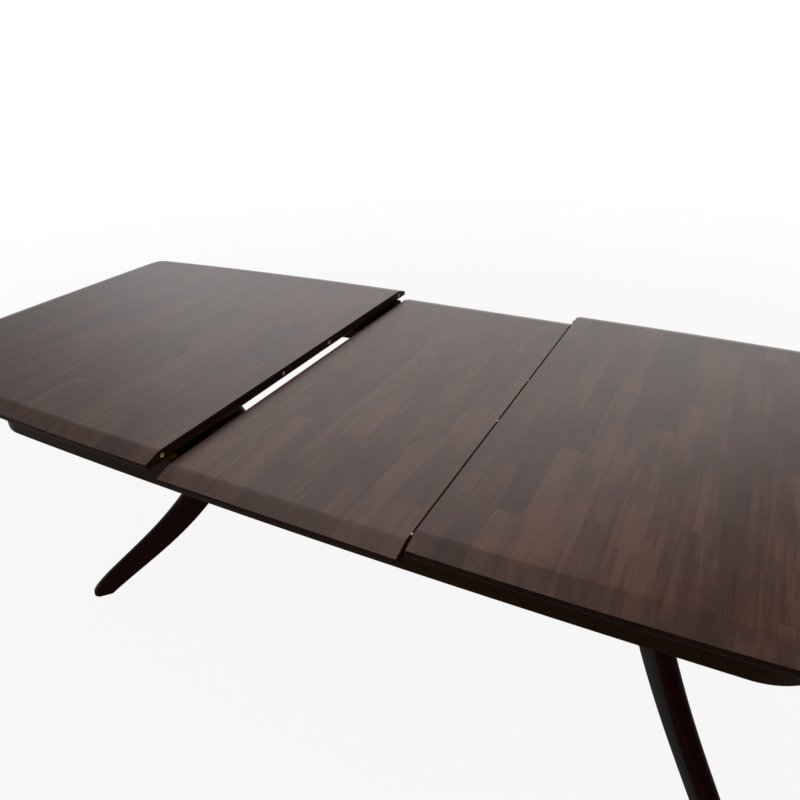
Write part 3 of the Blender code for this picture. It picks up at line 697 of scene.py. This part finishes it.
def finish_board(piece, seams, arris):
    """Give a board's edges the edge finish, and shade its wide faces flat.

    The edges are all faces that look less than 58 degrees up, and the eased arrises along the seams. Their
    finish is darker than the staves, partly stain and partly painted shade, and on the seams' arrises it
    stands for the painted shade in the gaps.
    """
    mesh = piece.data
    mesh.materials.append(wood("stained_and_shaded_edge", "Y"))
    facing, place = face_values(mesh, "normal"), face_values(mesh, "center")
    by_seam = np.abs(place[:, :1] - np.array(seams)).min(axis=1) < arris
    # Painted shade: the dark edge finish goes on the edges and on the arrises beside the seams, where it
    # stands for the shade in the seams' gaps
    edges = (facing[:, 2] < EDGE_UP) | (by_seam & (np.abs(facing[:, 0]) > ARRIS_LEAN))
    mesh.polygons.foreach_set("material_index", edges.astype(np.int32))
    soften(piece, crisp=40.0)
    piece.modifiers.new("wide faces flat", "WEIGHTED_NORMAL").keep_sharp = True


def socket_cutters(nodes, inwards):
    """Round cutters for the sockets of a row of pins or bushes, open towards the edge of their board."""
    cutters = []
    for node in nodes:
        low, high = limits(node)
        share_kept = BUSH_SHARE if "bush" in node else 1.0
        radius = share_kept * (high[2] - low[2]) / 2 + SEAT / 2
        ends = (SEAT, OUT_OF_BOARD) if inwards < 0 else (OUT_OF_BOARD, SEAT)
        profile = [(radius, low[0] - ends[0]), (radius, high[0] + ends[1])]
        rings = along_x(turned_rings(profile, SOCKET_STEPS)) + (0, *middle(node)[1:])
        cutters.append(tube_mesh("socket", rings))
    return cutters


def add_board(node, mesh, cutters, body, seams, arris):
    """Ease a board's edges, sink its sockets and add it with its finishes."""
    mesh = carve(mesh, cutters, arris)
    mesh.name = f"{node}_board"
    piece = add_piece(mesh.name, mesh, body, shared(stave_finish), node)
    finish_board(piece, seams, arris)


class DINING_TABLE_OT_tops(bpy.types.Operator):
    """Build the two bow-sided tops with their wide bevel and the sockets in their seam edges"""

    bl_idname = "dining_table.tops"
    bl_label = "Sliding Tops"

    def execute(self, context):
        board = context.scene.table_board
        for end, way in ENDS.items():
            mesh = board_mesh(f"{end}_top_board", board, bowed_outline, TOP_THICKNESS)
            move_points(mesh, points_of(mesh) * (way, way, 1) + (way * SEAM_X, 0, TABLE_TOP))
            fitting = "bush" if end == "left" else "pin"
            cutters = socket_cutters([f"{end}_top_{fitting}_{row}" for row in ROWS], way)
            add_board(f"{end}_top", mesh, cutters, f"{end}_sliding_top", [way * SEAM_X], board.arris)
        return {"FINISHED"}


class DINING_TABLE_OT_leaf(bpy.types.Operator):
    """Build the centre leaf with its bevelled front and rear edges"""

    bl_idname = "dining_table.leaf"
    bl_label = "Centre Leaf"

    def execute(self, context):
        board = context.scene.table_board
        mesh = board_mesh("centre_leaf_board", board, leaf_outline, LEAF_THICKNESS)
        move_points(mesh, points_of(mesh) + (0, 0, LEAF_TOP))
        cutters = socket_cutters([f"leaf_pin_{row}" for row in ROWS], 1)
        cutters += socket_cutters([f"leaf_bush_{row}" for row in ROWS], -1)
        add_board("centre_leaf", mesh, cutters, "lift_out_leaf", [LEAF_LEFT, LEAF_RIGHT], board.arris)
        return {"FINISHED"}


class DINING_TABLE_OT_fittings(bpy.types.Operator):
    """Turn the brass pins and the flush bushes that line the boards up"""

    bl_idname = "dining_table.fittings"
    bl_label = "Pins and Bushes"

    # Points round a fitting and over a pin's nose
    steps = 40
    nose_steps = 8

    # Sizes in metres
    shoulder = 0.0005
    clearance = 0.0004
    chamfer = 0.0009
    rim = 0.0005

    # Nose of a spigot's length, depth of the bore of a bush's length, and the flats that close both on their
    # axis, of the radius there
    nose = 0.80
    floor_share = 0.76
    nose_flat = 0.05
    floor_flat = 0.02

    def pin(self, node):
        """A pin's profile: a shank up to the board's edge and a slimmer spigot with an elliptical nose."""
        low, high = limits(node)
        edge = LEAF_LEFT if node.startswith("leaf") else SEAM_X
        radius = (high[2] - low[2]) / 2
        slim = radius * SPIGOT_SHARE
        rise = np.linspace(0, np.pi / 2, self.nose_steps, endpoint=False)
        reach = self.nose * (edge - low[0])
        tip = np.column_stack((slim * np.cos(rise), low[0] + reach * (1 - np.sin(rise))))
        shank = [(radius, high[0]), (radius, edge), (slim, edge - self.shoulder)]
        return np.vstack((shank, tip, [(slim * self.nose_flat, low[0])]))

    def bush(self, node):
        """A bush's profile: a thimble with an eased rim, and a chamfer where the bore meets its face."""
        low, high = limits(node)
        radius = BUSH_SHARE * (high[2] - low[2]) / 2
        pin_low, pin_high = limits("leaf_pin_1")
        bore = SPIGOT_SHARE * (pin_high[2] - pin_low[2]) / 2 + self.clearance
        mouth, back = (high[0], low[0]) if low[0] < 0 or "leaf" in node else (low[0], high[0])
        way = np.sign(back - mouth)
        floor = mouth + (back - mouth) * self.floor_share
        return np.array([(radius, back), (radius, mouth + way * self.rim), (radius - self.rim, mouth),
                         (bore + self.chamfer, mouth), (bore, mouth + way * self.chamfer), (bore, floor),
                         (bore * self.floor_flat, floor)])

    def execute(self, context):
        brass = shared(brass_finish)
        bodies = {"left_top": "left_sliding_top", "right_top": "right_sliding_top", "leaf": "lift_out_leaf"}
        for group, kind in (("left_top", "bush"), ("right_top", "pin"), ("leaf", "pin"), ("leaf", "bush")):
            for row in ROWS:
                node = f"{group}_{kind}_{row}"
                name = f"{node}_turned"
                profile = self.pin(node) if kind == "pin" else self.bush(node)
                rings = along_x(turned_rings(profile, self.steps)) + (0, *middle(node)[1:])
                soften(add_piece(name, tube_mesh(name, rings), bodies[group], brass, node))
        return {"FINISHED"}


# Points round an apron rail's corner and along half of its side, and its eased edges
RAIL_CORNER_POINTS = 20
RAIL_SIDE_POINTS = 40
RAIL_ARRIS = 0.0018


def apron_path(base, offset):
    """Plan of a side rail from end to end, drawn in from its outer face by an offset, for the rear side.

    The side is a parabola and each corner a quarter circle that ends square on the table's end.
    """
    rate = base.apron_bow / APRON_END_X ** 2
    corner_x = APRON_END_X - base.apron_corner
    corner_y = APRON_SIDE_Y - rate * corner_x ** 2 - base.apron_corner
    turn = np.linspace(0, np.pi / 2, RAIL_CORNER_POINTS, endpoint=False)
    radius = base.apron_corner - offset
    bend = np.column_stack((corner_x + radius * np.cos(turn), corner_y + radius * np.sin(turn)))
    x = np.linspace(corner_x, 0, RAIL_SIDE_POINTS, endpoint=False)
    stretch = np.hypot(2 * rate * x, 1)
    side = np.column_stack((x - offset * 2 * rate * x / stretch,
                            APRON_SIDE_Y - rate * x ** 2 - offset / stretch))
    half = np.vstack((bend, side))
    return np.vstack((half, [(0, APRON_SIDE_Y - offset)], half[::-1] * (-1, 1)))


class DINING_TABLE_OT_apron(bpy.types.Operator):
    """Build the bowed front and rear rails with their round corners and the notch for the leaf"""

    bl_idname = "dining_table.apron"
    bl_label = "Bowed Rails"

    def execute(self, context):
        base = context.scene.table_base
        outer = apron_path(base, 0.0)
        inner = apron_path(base, base.apron_thickness)
        bottom = APRON_BOTTOM - base.apron_drop
        corners = ((outer, APRON_TOP), (outer, bottom), (inner, bottom), (inner, APRON_TOP))
        rings = np.stack([np.column_stack((plan, np.full(len(plan), z))) for plan, z in corners], axis=1)
        notch = (LEAF_RIGHT - LEAF_LEFT) / 2 + base.notch_clearance
        for side, way in SIDES.items():
            node = f"apron_{side}_rail"
            mesh = tube_mesh(f"{node}_bowed", rings * (1, way, 1))
            cutter = box_mesh((-notch, -HALF_WIDTH, LEAF_UNDERSIDE - SEAT), (notch, HALF_WIDTH, TABLE_TOP))
            mesh = carve(mesh, [cutter])
            mesh.name = f"{node}_bowed"
            piece = add_piece(mesh.name, mesh, "base", wood("stained_apron", "X"), node)
            soften(piece, RAIL_ARRIS)
        return {"FINISHED"}


class DINING_TABLE_OT_sawn(bpy.types.Operator):
    """Ease the edges of the sawn pieces: end rails, bearers, head beams, guides, runners, stops, battens"""

    bl_idname = "dining_table.sawn"
    bl_label = "Sawn Slides and Beams"

    arris = 0.0012
    kinds = {"apron_left": ("stained_apron", "Y"), "apron_right": ("stained_apron", "Y"),
             "bearer": ("stained_apron", "X"), "head_beam": ("stained_leg", "Y"),
             "leaf_batten": ("slide_wood", "Y"), "guide": ("slide_wood", "X"),
             "runner": ("slide_wood", "X"), "stop": ("slide_wood", "X")}

    def execute(self, context):
        for node, solid in frame["nodes"].items():
            kind = next((finish for start, finish in self.kinds.items() if node.startswith(start)), None)
            if kind is None:
                continue
            mesh = bpy.data.meshes.new(f"{node}_sawn")
            with reworked(solid.data, mesh) as bm:
                bmesh.ops.remove_doubles(bm, verts=bm.verts, dist=1e-5)
                bmesh.ops.dissolve_limit(bm, angle_limit=math.radians(1), verts=bm.verts, edges=bm.edges)
            if "custom_normal" in mesh.attributes:
                mesh.attributes.remove(mesh.attributes["custom_normal"])
            if node.startswith("apron"):
                points = points_of(mesh)
                points[points[:, 2] < limits(node)[0][2] + SEAT, 2] -= context.scene.table_base.apron_drop
                move_points(mesh, points)
            piece = add_piece(mesh.name, mesh, solid["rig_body"], wood(*kind), node)
            soften(piece, self.arris, segments=2)
        return {"FINISHED"}


# Points down a bead, down the barrel and down the drop of a column
BEAD_POINTS = 11
BARREL_POINTS = 20
DROP_POINTS = 12


def s_curve(first, last, count=14):
    """Rows after one (radius, height) point and up to another, the radius following half a cosine wave."""
    run = np.linspace(0, 1, count + 1)[1:, None]
    wave = (1 - np.cos(np.pi * run)) / 2
    first, last = np.array(first), np.array(last)
    return np.column_stack((first[0] + (last[0] - first[0]) * wave, first[1] + (last[1] - first[1]) * run))


def bead_rows(radius, height, size):
    """Rows of a half-round bead from its top down."""
    angle = np.linspace(np.pi / 2, -np.pi / 2, BEAD_POINTS)
    return np.column_stack((radius + size * np.cos(angle), height + size * np.sin(angle)))


def column_rows(base):
    """Profile of a column from its top down: collar, neck, beaded barrel hub and a turned drop.

    The barrel swells as half a sine wave, and the drop ends in a quarter of an ellipse.
    """
    collar_bottom = COLUMN_TOP - base.collar_depth
    under = (base.collar_radius - base.bead, collar_bottom)
    neck = (base.neck_radius, base.neck_height)
    high, low = base.hub_top - base.bead, base.hub_bottom - base.bead
    run = np.linspace(0, 1, BARREL_POINTS)[1:-1]
    swell = (base.hub_radius - base.shoulder_radius) * np.sin(np.pi * run)
    barrel_low = base.hub_bottom + base.bead
    barrel = np.column_stack((base.shoulder_radius + swell, high + (barrel_low - high) * run))
    waist = (base.drop_radius, low - base.drop_length / 2)
    fall = np.linspace(0, np.pi / 2, DROP_POINTS)[1:-1]
    drop = np.column_stack((base.drop_radius * np.cos(fall),
                            waist[1] - base.drop_length / 2 * np.sin(fall)))
    above = (base.shoulder_radius, base.hub_top + 2 * base.bead)
    below = (base.shoulder_radius - base.bead, low)
    return np.vstack(([(POLE, COLUMN_TOP), (base.collar_radius, COLUMN_TOP),
                       (base.collar_radius, collar_bottom), under],
                      s_curve(under, neck), s_curve(neck, above),
                      bead_rows(base.shoulder_radius, base.hub_top, base.bead), barrel,
                      bead_rows(base.shoulder_radius, base.hub_bottom, base.bead),
                      [below], s_curve(below, waist), drop, [(POLE / 2, low - base.drop_length)]))


class DINING_TABLE_OT_columns(bpy.types.Operator):
    """Turn the two columns"""

    bl_idname = "dining_table.columns"
    bl_label = "Turned Columns"

    steps = 96
    arris = 0.0012

    def execute(self, context):
        rings = turned_rings(column_rows(context.scene.table_base), self.steps)
        for end, way in ENDS.items():
            name = f"column_{end}_turned"
            mesh = tube_mesh(name, rings + (way * PEDESTAL_X, 0, 0))
            piece = add_piece(name, mesh, "base", wood("stained_leg", "Z"), f"column_{end}")
            soften(piece, self.arris, segments=2, crisp=50.0)
        return {"FINISHED"}


# Rings along a leg, points round each of its edges and its toe, and how far and finely its centre line
# is run, as shares of the way from the hub to the ankle
LEG_STATIONS = 64
LEG_EDGE_POINTS = 8
TOE_POINTS = 16
LEG_RUN = (-0.3, 1.25, 400)


def resample(line, count):
    """Points of a polyline at even steps of its length."""
    steps = np.concatenate(([0], np.cumsum(np.hypot(*np.diff(line, axis=0).T))))
    at = np.linspace(0, steps[-1], count)
    return np.column_stack((np.interp(at, steps, line[:, 0]), np.interp(at, steps, line[:, 1])))


def leg_edges(base):
    """Upper and lower edge of a leg in its own plane: distance from the column's axis, and height.

    With s running from the hub to the ankle, the centre line lies s (1 - s) (4 sag + sway (1 - 2 s)) below
    its chord, and is run on past both ends. The edges stand off it by half the depth, which narrows
    steadily. The upper edge turns down over a toe rounded as a parabola.
    """
    run = np.linspace(*LEG_RUN)[:, None]
    start = np.array((base.leg_start, base.leg_joint_height))
    chord = np.array((base.leg_reach - base.toe_setback, base.leg_ankle_height)) - start
    dip = run * (1 - run) * (4 * base.leg_sag + base.leg_sway * (1 - 2 * run))
    fall = 4 * base.leg_sag * (1 - 2 * run) + base.leg_sway * (1 - 6 * run + 6 * run ** 2)
    centre = start + chord * run - np.column_stack((0 * run, dip))
    ahead = chord - np.column_stack((0 * run, fall))
    ahead /= np.linalg.norm(ahead, axis=1)[:, None]
    off = np.column_stack((-ahead[:, 1], ahead[:, 0]))
    half = (base.leg_top_depth + (base.leg_foot_depth - base.leg_top_depth) * run) / 2
    floor = GLIDE_TOP + SEAT
    upper = centre + off * half
    lower = centre - off * half
    upper = upper[(upper[:, 0] > base.leg_start) & (upper[:, 0] < base.leg_reach)]
    lower = lower[(lower[:, 0] > base.leg_start) & (lower[:, 1] > floor)]
    brow = upper[-1]
    kept = upper[np.hypot(*(upper - brow).T) > base.toe_run]
    bend = np.linspace(0, 1, TOE_POINTS)[:, None]
    below = np.array((base.leg_reach, floor + base.toe_rise))
    toe = (1 - bend) ** 2 * kept[-1] + 2 * bend * (1 - bend) * brow + bend ** 2 * below
    tip = np.array((base.leg_reach - base.toe_rise / 4, floor))
    heel = np.array((lower[-1][0], floor))
    return (resample(np.vstack((kept, toe[1:], [tip])), LEG_STATIONS),
            resample(np.vstack((lower, [heel])), LEG_STATIONS))


def leg_rings(base):
    """Rings of a leg: oblongs with quarter-circle corners that stand between its lower and its upper edge."""
    upper, lower = leg_edges(base)
    depth = np.hypot(*(upper - lower).T)[:, None]
    rise = (upper - lower) / depth
    half = base.leg_width / 2
    angle = np.linspace(0, np.pi / 2, LEG_EDGE_POINTS)

    def rounded(radius):
        """A rounded edge: its points' distances from the leg's middle, and from its upper or lower face."""
        return half - radius + radius * np.cos(angle), radius * (1 - np.sin(angle))

    top_out, top_in = rounded(base.leg_upper_round)
    low_out, low_in = rounded(base.leg_lower_round)
    side = np.concatenate((top_out, -top_out[::-1], -low_out, low_out[::-1]))
    from_top = np.concatenate((top_in, top_in[::-1]))
    from_low = np.concatenate((low_in, low_in[::-1]))
    up = np.concatenate((depth - from_top, np.broadcast_to(from_low, (len(depth), len(from_low)))), axis=1)
    plane = lower[:, None, :] + rise[:, None, :] * up[:, :, None]
    return np.stack((plane[..., 0], np.broadcast_to(side, up.shape), plane[..., 1]), axis=-1)


def map_leg(mesh, base):
    """Give a leg a map whose U runs along it and V round it, in metres, from its points."""
    points = points_of(mesh)
    slant = math.atan2(base.leg_joint_height, base.leg_reach)
    u = points[:, 0] * math.cos(slant) - points[:, 2] * math.sin(slant)
    v = points[:, 1] + points[:, 0] * math.sin(slant) + points[:, 2] * math.cos(slant)
    corners = np.empty(len(mesh.loops), np.int32)
    mesh.loops.foreach_get("vertex_index", corners)
    layer = mesh.uv_layers.new(name="grain")
    layer.data.foreach_set("uv", np.column_stack((u, v))[corners].astype(np.float32).ravel())


class DINING_TABLE_OT_legs(bpy.types.Operator):
    """Shape the four splayed sabre legs and the glides under them"""

    bl_idname = "dining_table.legs"
    bl_label = "Sabre Legs and Glides"

    glide_steps = 48
    rim = 0.0015
    rim_points = 6

    def execute(self, context):
        base = context.scene.table_base
        rings = leg_rings(base)
        for end, way in ENDS.items():
            for side, facing in SIDES.items():
                name = f"leg_{end}_{side}"
                mesh = tube_mesh(f"{name}_shaped", rings)
                map_leg(mesh, base)
                out, cross, height = points_of(mesh).T
                cos, sin = way * math.cos(base.leg_splay), facing * math.sin(base.leg_splay)
                move_points(mesh, np.column_stack((out * cos - cross * sin + way * PEDESTAL_X,
                                                   out * sin + cross * cos, height)))
                piece = add_piece(mesh.name, mesh, "base", wood("stained_leg", "UV"), name)
                soften(piece, crisp=40.0)
                self.glide(f"glide_{end}_{side}")
        return {"FINISHED"}

    def glide(self, node):
        """A round glide pad whose rim is a quarter circle."""
        low, high = limits(node)
        radius, rim = (high[0] - low[0]) / 2, self.rim
        angle = np.linspace(0, np.pi / 2, self.rim_points)
        edge = np.column_stack((radius - rim + rim * np.cos(angle), low[2] + rim - rim * np.sin(angle)))
        profile = np.vstack(([(radius, high[2])], edge))
        mesh = tube_mesh(f"{node}_pad", turned_rings(profile, self.glide_steps) + (*middle(node)[:2], 0))
        soften(add_piece(mesh.name, mesh, "base", shared(glide_finish), node))


# Rings of a screw head and points round it. The rest are shares of its radius: the innermost ring, the
# dome's height, the half width, reach and depth of the cross, and the depth of the skirt
SCREW_RINGS = 14
SCREW_STEPS = 48
SCREW_MIDDLE = 0.02
DOME = 0.16
CROSS_WIDTH = 0.14
CROSS_REACH = 0.66
CROSS_DEPTH = 0.30
SKIRT = 0.5


def screw_rings(radius):
    """Rings of a flush screw head seen from below: a low dome, with a cross sunk into its middle.

    The height is h (1 - (r / R)^2) less a fixed depth wherever the point lies in either bar of the cross.
    """
    out = np.linspace(1.0, SCREW_MIDDLE, SCREW_RINGS)[:, None]
    angle = np.linspace(0, 2 * np.pi, SCREW_STEPS, endpoint=False)
    x, y = radius * out * np.cos(angle), radius * out * np.sin(angle)
    sunk = (np.minimum(np.abs(x), np.abs(y)) < radius * CROSS_WIDTH) & (out < CROSS_REACH)
    z = -radius * DOME * (1 - out ** 2) + np.where(sunk, radius * CROSS_DEPTH, 0.0)
    rings = np.stack((x, y, z), axis=-1)
    return np.concatenate((rings[:1] + (0, 0, radius * SKIRT), rings))


class DINING_TABLE_OT_screws(bpy.types.Operator):
    """Set the brass screws that hold the runners and the battens from below"""

    bl_idname = "dining_table.screws"
    bl_label = "Screws"

    # Radius of a head in metres, and places along a batten from its middle and along a runner from its
    # inner end, as shares of their lengths
    radius = 0.0042
    batten_shares = (-0.36, 0.0, 0.36)
    runner_shares = (0.42, 0.68, 0.94)

    def places(self, node):
        """Where the screws of a runner or a batten stand, along the part that touches the wood above."""
        low, high = limits(node)
        x, y = middle(node)[:2]
        if node.startswith("leaf_batten"):
            return [(x, y + part * (high[1] - low[1]), low[2]) for part in self.batten_shares]
        inner = min(abs(low[0]), abs(high[0]))
        reach = inner + np.array(self.runner_shares) * (high[0] - low[0])
        return [(np.sign(x) * out, y, low[2]) for out in reach]

    def execute(self, context):
        rings = screw_rings(self.radius)
        for node, solid in frame["nodes"].items():
            if not node.startswith(("runner", "leaf_batten")):
                continue
            mesh = bpy.data.meshes.new(f"{node}_screws")
            with reworked(mesh) as bm:
                for place in self.places(node):
                    head = tube_mesh("head", rings + place)
                    bm.from_mesh(head)
                    bpy.data.meshes.remove(head)
            piece = add_piece(mesh.name, mesh, solid["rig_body"], shared(brass_finish), None)
            soften(piece, crisp=40.0)
        return {"FINISHED"}


def seen(tree):
    """1 for rays from the camera, a gloss or a clear piece, and 0 for the rest."""
    path = add_node(tree, "ShaderNodeLightPath").outputs
    shown = maths(tree, "MAXIMUM", path["Is Camera Ray"], path["Is Glossy Ray"])
    return maths(tree, "MAXIMUM", shown, path["Is Transmission Ray"])


# Distances from the table between which its shadow fades from the floor
SHADOW_FADE = (2.0, 6.0)


def floor_finish(studio):
    """Pale floor that shows white and keeps a light share of the shadow near the table."""
    made = bpy.data.materials.new("studio_floor")
    made.use_nodes = True
    tree = made.node_tree
    tree.nodes.clear()
    place = add_node(tree, "ShaderNodeTexCoord").outputs["Object"]
    away = add_node(tree, "ShaderNodeVectorMath", {0: place}, operation="LENGTH").outputs["Value"]
    near = maths(tree, "SUBTRACT", 1.0, between(tree, away, *SHADOW_FADE))
    shaded = maths(tree, "MULTIPLY", near, studio.shadow)
    paint = add_node(tree, "ShaderNodeBsdfDiffuse", {"Color": rgba(studio.floor)}).outputs[0]
    white = add_node(tree, "ShaderNodeEmission").outputs[0]
    shown = add_node(tree, "ShaderNodeMixShader", {0: shaded, 1: white, 2: paint})
    both = add_node(tree, "ShaderNodeMixShader", {0: seen(tree), 1: paint, 2: shown.outputs[0]})
    add_node(tree, "ShaderNodeOutputMaterial", {0: both.outputs[0]})
    return made


class DINING_TABLE_OT_studio(bpy.types.Operator):
    """Set the white floor, the soft light and the photograph's camera"""

    bl_idname = "dining_table.studio"
    bl_label = "Studio"

    floor_half = 40.0
    softbox_size = (1.4, 1.0)
    softbox_place = (0.35, -0.15, 2.3)
    sensor = 36.0
    sight = 200.0

    # Parts of the surroundings that are dimmer in reflections. Each is bounded by slants: the sum of the
    # direction's x, |y| and z times three weights dims it from a first value to a second.
    dimmed = {"overhead": (((0.45, 0.3, 1.0), 0.725, 0.885),),
              "leftward": (((-1.0, -0.25, 0.3), 0.58, 0.90), ((0.0, 0.0, 1.0), 0.10, 0.26)),
              "nearside": (((0.0, -0.6, 1.0), 0.04, 0.18), ((0.0, 1.0, 0.0), 0.34, 0.46))}

    def world(self, scene, studio):
        """White where it is seen, dimmer here and there in reflections, and a soft even light."""
        world = bpy.data.worlds.new("studio_light")
        world.use_nodes = True
        tree = world.node_tree
        tree.nodes.clear()
        way = add_node(tree, "ShaderNodeTexCoord").outputs["Generated"]
        parts = add_node(tree, "ShaderNodeSeparateXYZ", {0: way}).outputs
        folded = (parts[0], maths(tree, "ABSOLUTE", parts[1]), parts[2])
        shown = 1.0
        for name, slants in self.dimmed.items():
            dim = 1.0 - getattr(studio, name)
            for slant, start, end in slants:
                along = weighed(tree, 0.0, *zip(folded, slant))
                dim = maths(tree, "MULTIPLY", dim, between(tree, along, start, end))
            shown = maths(tree, "MULTIPLY", shown, maths(tree, "SUBTRACT", 1.0, dim))
        white = add_node(tree, "ShaderNodeLightPath").outputs["Is Camera Ray"]
        colour = (1.0, 1.0, 1.0, 1.0)
        bright = add_node(tree, "ShaderNodeBackground",
                          {"Color": colour, "Strength": maths(tree, "MAXIMUM", shown, white)})
        soft = add_node(tree, "ShaderNodeBackground", {"Color": colour, "Strength": studio.fill})
        both = add_node(tree, "ShaderNodeMixShader",
                        {0: seen(tree), 1: soft.outputs[0], 2: bright.outputs[0]})
        add_node(tree, "ShaderNodeOutputWorld", {0: both.outputs[0]})
        scene.world = world

    def execute(self, context):
        scene = context.scene
        studio = scene.table_studio
        half = self.floor_half
        plan = np.array([(-half, -half, 0), (half, -half, 0), (half, half, 0), (-half, half, 0)])
        mesh = fill_mesh("studio_floor", plan, np.array([[0, 1, 2, 3]]))
        mesh.materials.append(floor_finish(studio))
        floor = bpy.data.objects.new("studio_floor", mesh)
        scene.collection.objects.link(floor)
        self.world(scene, studio)
        lamp = bpy.data.lights.new("softbox", "AREA")
        lamp.energy = studio.softbox_power
        lamp.shape = "RECTANGLE"
        lamp.size, lamp.size_y = self.softbox_size
        softbox = bpy.data.objects.new("softbox", lamp)
        softbox.location = self.softbox_place
        softbox.visible_glossy = False
        scene.collection.objects.link(softbox)
        view = bpy.data.cameras.new("photo_camera")
        view.lens = studio.lens
        view.sensor_width = self.sensor
        view.clip_end = self.sight
        camera = bpy.data.objects.new("photo_camera", view)
        camera.location = studio.camera_place
        camera.rotation_euler = studio.camera_turn
        scene.collection.objects.link(camera)
        scene.camera = camera
        scene.view_settings.view_transform = "Standard"
        return {"FINISHED"}


STEPS = (DINING_TABLE_OT_tops, DINING_TABLE_OT_leaf, DINING_TABLE_OT_fittings, DINING_TABLE_OT_apron,
         DINING_TABLE_OT_sawn, DINING_TABLE_OT_columns, DINING_TABLE_OT_legs, DINING_TABLE_OT_screws,
         DINING_TABLE_OT_studio)
SETTINGS = {"table_board": BoardShape, "table_base": BaseShape, "table_finish": WoodFinish,
            "table_studio": Studio}


class DINING_TABLE_PT_panel(bpy.types.Panel):
    """Lists the settings and the steps that build the table"""

    bl_idname = "DINING_TABLE_PT_panel"
    bl_label = "Extending Dining Table"
    bl_space_type = "VIEW_3D"
    bl_region_type = "UI"
    bl_category = "Table"

    def draw(self, context):
        for name in SETTINGS:
            box = self.layout.box()
            for prop in getattr(context.scene, name).bl_rna.properties:
                if prop.identifier not in {"rna_type", "name"}:
                    box.prop(getattr(context.scene, name), prop.identifier)
        for step in STEPS:
            self.layout.operator(step.bl_idname)


CLASSES = (*SETTINGS.values(), *STEPS, DINING_TABLE_PT_panel)


def register():
    """Register the settings, the steps and the panel."""
    for made in CLASSES:
        bpy.utils.register_class(made)
    for name, group in SETTINGS.items():
        setattr(bpy.types.Scene, name, PointerProperty(type=group))


def unregister():
    """Take them away again."""
    for name in SETTINGS:
        delattr(bpy.types.Scene, name)
    for made in reversed(CLASSES):
        bpy.utils.unregister_class(made)


def main():
    register()
    for step in STEPS:
        group, name = step.bl_idname.split(".")
        getattr(getattr(bpy.ops, group), name)()


if __name__ == "__main__":
    main()
